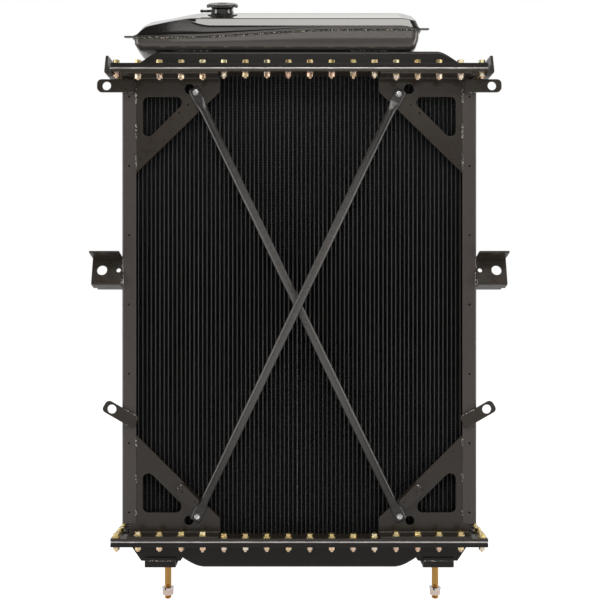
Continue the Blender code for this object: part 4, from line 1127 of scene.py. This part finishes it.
def build_filler():
    wall, rim, z = 27.0, 33.2, NECK.z
    low, high = z + 19.0, z + 23.6
    profile = [(rim - 0.5, high), (rim, high - 0.5), (rim, low + 0.8), (rim - 0.8, low),
               (wall + 1.6, low - 1.0), (wall + 0.3, low - 2.2), (wall, low - 3.6),
               (wall, z + 6.0), (wall + 0.8, z + 4.0), (wall + 2.6, z + 2.9), (34.4, z + 2.6),
               (35, z + 2.0), (35, z + 0.9), (34.4, z + 0.4), (wall, z + 0.4), (wall, z - 12.6),
               (wall - 0.4, z - 13), (wall - 3.0, z - 13), (wall - 3.4, z - 12.6),
               (wall - 3.4, z - 6), (16, z - 6), (16, z - 3), (wall - 3.4, z - 3),
               (wall - 3.4, high - 0.4), (wall - 3.0, high)]
    neck = lathe(profile, NECK.xy.to_3d(), steps=72)
    foot = [(NECK.x + 35.2 * cos(a), NECK.y + 35.2 * sin(a), z + 0.6)
            for a in np.linspace(0, 2 * pi, 48)]
    new_piece("filler_neck_spun", leaned(join_all([neck, weld_bead(foot, 1.5, (0, 0, 1), 5)])),
              "surge", ["filler_neck"], smooth=40)
    pipe = nipple_shape((NECK.x - wall - 0.3, NECK.y, z + 9.0), (-243.0, NECK.y, z + 9.0), 3.2, 1.8)
    new_piece("overflow_pipe", leaned(pipe), "surge", ["overflow_nipple"], smooth=45)
    pipe = nipple_shape((-60, SURGE_Y + 0.3, 1252), (-60, 96, 1252), 6.0, 4.2)
    new_piece("make_up_pipe", pipe, "surge", ["make_up_nipple"], smooth=45)
    pipe = nipple_shape((240, 58.3, 1216), (240, 92, 1216), 3.2, 1.8)
    new_piece("tank_vent_pipe", pipe, "tank", ["tank_vent_nipple"], smooth=45)


def build_cap():
    centre = NECK.xy.to_3d()
    outer, inner, top, foot = 35.6, 34.4, NECK.z + 26.5, NECK.z + 19.8

    def scallop(angle, r, h):
        if r < outer - 1.0 or h > top - 1.2:
            return r
        return r + 0.55 * abs(sin(11 * angle)) ** 0.6 - 0.5

    dome = [(0.01, top - 1.1), (8.5, top - 1.1), (9.6, top - 0.9), (11.4, top - 0.2), (12.4, top),
            (13.6, top - 0.2), (15.4, top - 0.9), (24.5, top - 0.9), (26.0, top - 0.5),
            (27.4, top - 0.05), (31.0, top - 0.05), (33.0, top - 0.3), (34.6, top - 0.9),
            (35.4, top - 1.7), (outer, top - 2.8), (outer, foot + 1.0), (outer + 0.4, foot + 0.4),
            (outer + 0.1, foot), (inner, foot), (inner, top - 2.7), (0.01, top - 2.7)]
    cap = lathe(dome, centre, steps=176, wobble=scallop)
    ears = []
    for sign in (-1, 1):
        rings = []
        for a in (radians(d) for d in range(-17, 18, 2)):
            reach = 35.3 + 3.0 * (1 - (abs(a) / radians(17)) ** 4)
            c, s = sign * cos(a), sin(a)
            section = [(34.6, foot + 5.0), (reach, foot + 4.2), (reach, foot - 0.9),
                       (reach - 0.8, foot - 2.3), (reach - 3.0, foot - 2.3),
                       (reach - 3.2, foot - 1.3), (reach - 1.4, foot - 1.2), (34.6, foot + 3.0)]
            rings.append([(NECK.x + r * c, NECK.y + r * s, h) for r, h in section])
        ears.append(loft(rings))
    boss = lathe([(0.01, top - 6.1), (8, top - 6.1), (8, top - 2.6), (0.01, top - 2.6)], centre,
                 steps=32)
    new_piece("cap_pressed", leaned(join_all([cap, boss] + ears)), "cap",
              ["cap_shell"], "cap", smooth=35)

    low, high = NECK.z - 2.7, NECK.z + 0.3
    disc = [(22.6, high - 0.4), (22.2, high), (19, high), (18, high - 0.5), (6, high - 0.5),
            (5, high), (2.6, high), (2.6, low), (22.2, low), (22.6, low + 0.4)]
    new_piece("pressure_disc", leaned(lathe(disc, centre, steps=64)), "brass",
              ["cap_pressure_valve"], "pressure_valve")
    under = low - 0.5
    pin = [(0.01, high + 5), (4.4, high + 5), (5, high + 4.5), (5, high + 3.2), (2.1, high + 3.2),
           (2.1, under), (8.6, under), (9, under - 0.4), (9, under - 1.7), (8.6, under - 2),
           (0.01, under - 2)]
    new_piece("vacuum_disc", leaned(lathe(pin, centre, steps=40)), "brass",
              ["cap_vacuum_valve"], "vacuum_valve")

    start, end, wire, turns = high + 0.3, NECK.z + 23.6, 1.1, 3.5
    rings = []
    for i in range(int(turns * 36) + 1):
        turn = radians(10 * i)
        out = Vector((cos(turn), sin(turn), 0))
        z = start + wire + (end - start - 2 * wire) * i / (turns * 36)
        middle = Vector((NECK.x, NECK.y, z)) + out * 15.0
        rings.append([tuple(middle + out * wire * cos(a) + Vector((0, 0, wire * sin(a))))
                      for a in (pi * k / 5 for k in range(10))])
    coil = new_piece("cap_spring_coil", leaned(loft(rings)), "spring",
                     ["cap_spring"], None, smooth=60)
    seats = (LEAN @ (Vector((NECK.x, NECK.y, z)) * MM) for z in (end - 2 * wire, start + 2 * wire))
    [tuple(seat) for seat in seats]
    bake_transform(coil)


def build_drain():
    x, z, wall = -152.4, 20.0, 58.3

    def facing_back(part, y):
        return moved(part, shift(x, y, z) @ Matrix.Rotation(-pi / 2, 4, "X"))

    barrel = lathe([(7.5, 0), (7.5, 14.6), (7.0, 15.6), (4.6, 15.6), (4.4, 15.3), (4.4, 0)],
                   (0, 0, 0), steps=40)
    collar = lathe([(8.1, 2.0), (8.4, 2.6), (8.4, 3.6), (8.1, 4.2), (7.2, 4.2), (7.2, 2.0)],
                   (0, 0, 0), steps=40)
    spout = lathe([(3.2, -0.2), (3.6, 0.2), (3.6, 10), (3.3, 12), (2.0, 12), (2.0, -0.2)],
                  (0, 0, 0), steps=28)
    moved(spout, shift(x, wall + 17, z - 18))
    nut = facing_back(hexagon(19.05, 0, 9.0, True), wall)
    body = join_all([nut, facing_back(barrel, wall + 9), facing_back(collar, wall + 9), spout])
    new_piece("drain_cock_turned", body, "brass", ["drain_cock_body"], smooth=35)

    stem = ring_stack([(4.0, 0), (4.0, 22), (3.6, 23), (3.6, 31), (3.1, 31.6)], 28)
    facing_back(stem, wall + 5)
    outline = rounded([(-15, -3, 2.9), (-5.5, -3, 2), (0, -5.2, 4), (5.5, -3, 2), (15, -3, 2.9),
                       (15, 3, 2.9), (5.5, 3, 2), (0, 5.2, 4), (-5.5, 3, 2), (-15, 3, 2.9)], 5)
    lever = flat_sheet([outline], 6.0, 1.2, 3)
    moved(lever, shift(x, wall + 26, z) @ Matrix(((1, 0, 0, 0), (0, 0, -1, 0), (0, 1, 0, 0),
                                                  (0, 0, 0, 1))))
    new_piece("drain_cock_lever", join_all([stem, lever]), "brass",
              ["drain_cock_handle"], "drain_handle")


def build_studs():
    """Mounting studs with rolled threads, spring washers and chamfered nuts."""
    for side, x in STUD_X.items():
        rod = ring_stack([(7.0, -60.0), (7.94, -59.0), (7.94, 6.4)], 32)
        head = hexagon(23.7, 6.4, 15.8)
        thread = threaded(7.94, -94.0 + 0.6, -58.6, 1.75, 0.75, 28)
        moved(thread, shift(0, 0, -152.6) @ Matrix.Rotation(pi, 4, "X"))
        stud = moved(join_all([thread, rod, head]), shift(x, 0, 0))
        new_piece("foot_stud_rolled_" + side, stud, "stud_gold",
                  ["foot_stud_" + side], smooth=30)
        spring = split_ring(8.5, 14.0, -70.5, -66.6, gap=16, lift=0.5, steps=48)
        moved(spring, shift(x, 0, 0) @ Matrix.Rotation(radians(250), 4, "Z"))
        new_piece("stud_spring_washer_" + side, spring, "silver",
                  ["stud_washer_" + side])
        nut = hexagon(23.7, -85.0, -71.0, True)
        moved(nut, shift(x, 0, 0) @ Matrix.Rotation(radians(12), 4, "Z"))
        new_piece("stud_nut_forged_" + side, nut, "pink", ["stud_nut_" + side])


# Studio


def softbox(name, place, target, size, radiance, tint=(1.0, 0.97, 0.93)):
    """A rectangular light whose face has the given radiance, unseen by the camera."""
    data = bpy.data.lights.new(name, "AREA")
    data.shape = "RECTANGLE"
    data.size, data.size_y = size
    data.energy = radiance * pi * size[0] * size[1]
    data.color = tint
    light = bpy.data.objects.new(name, data)
    bpy.context.scene.collection.objects.link(light)
    light.location = place
    light.rotation_euler = (Vector(target) - Vector(place)).to_track_quat("-Z", "Y").to_euler()
    light.visible_camera = False


def build_world():
    """White to the eye all round; as a light, bright behind the radiator and dim before it."""
    world = bpy.data.worlds.new("studio")
    world.use_nodes = True
    tree = world.node_tree
    background = tree.nodes["Background"]
    split = tree.nodes.new("ShaderNodeSeparateXYZ")
    tree.links.new(tree.nodes.new("ShaderNodeTexCoord").outputs["Generated"], split.inputs[0])
    fade = tree.nodes.new("ShaderNodeMapRange")
    for key, value in zip(("From Min", "From Max", "To Min", "To Max"), (-0.3, 0.7, 0.10, 0.78)):
        fade.inputs[key].default_value = value
    tree.links.new(split.outputs["Y"], fade.inputs["Value"])
    direct = tree.nodes.new("ShaderNodeMath")
    direct.operation = "MAXIMUM"
    path = tree.nodes.new("ShaderNodeLightPath")
    tree.links.new(path.outputs["Is Camera Ray"], direct.inputs[0])
    tree.links.new(fade.outputs["Result"], direct.inputs[1])
    tree.links.new(direct.outputs[0], background.inputs["Strength"])
    background.inputs["Color"].default_value = (1, 1, 1, 1)
    bpy.context.scene.world = world


def build_studio():
    scene = bpy.context.scene
    scene.view_settings.view_transform = "Standard"
    build_world()
    top = (0, 0, 1.28)
    softbox("front_high", (0.25, -1.75, 3.15), top, (2.0, 1.0), 7.0)
    softbox("front_strip", (0.12, -2.6, 1.93), top, (1.6, 0.36), 1.9)
    softbox("overhead_back", (0, 1.7, 3.0), top, (3.2, 1.3), 0.30, (1.0, 0.92, 0.78))
    for sign in (-1, 1):
        softbox(f"side_strip_{sign}", (sign * 2.3, -0.75, 0.75), (0, 0, 0.65), (0.9, 2.0), 4.6)
        softbox(f"back_corner_{sign}", (sign * 1.9, 2.0, 1.3), (0, 0, 0.65), (0.7, 1.6), 2.5)

    floor = bpy.data.meshes.new("studio_floor")
    bm = bmesh.new()
    bmesh.ops.create_circle(bm, cap_ends=True, segments=64, radius=14.0)
    bm.to_mesh(floor)
    bm.free()
    floor.materials.append(MAT["floor"])
    ground = bpy.data.objects.new("studio_floor", floor)
    ground.location.z = CAD_BOX[0][2] - 0.0005
    scene.collection.objects.link(ground)

    distance, height = 2.149, 0.6355
    camera = bpy.data.cameras.new("photo_camera")
    camera.lens = 52.62
    camera.sensor_width = 36.0
    camera.shift_x = 0.7 / 600
    seen = bpy.data.objects.new("photo_camera", camera)
    seen.location = (0.0, -distance, height)
    seen.rotation_euler = (radians(90), 0, 0)
    scene.collection.objects.link(seen)
    scene.camera = seen


build_joints()
build_core()
build_flange_bolts()
build_gussets()
build_frame()
build_braces()
build_tanks()
build_surge()
build_filler()
build_cap()
build_drain()
build_studs()
build_studio()
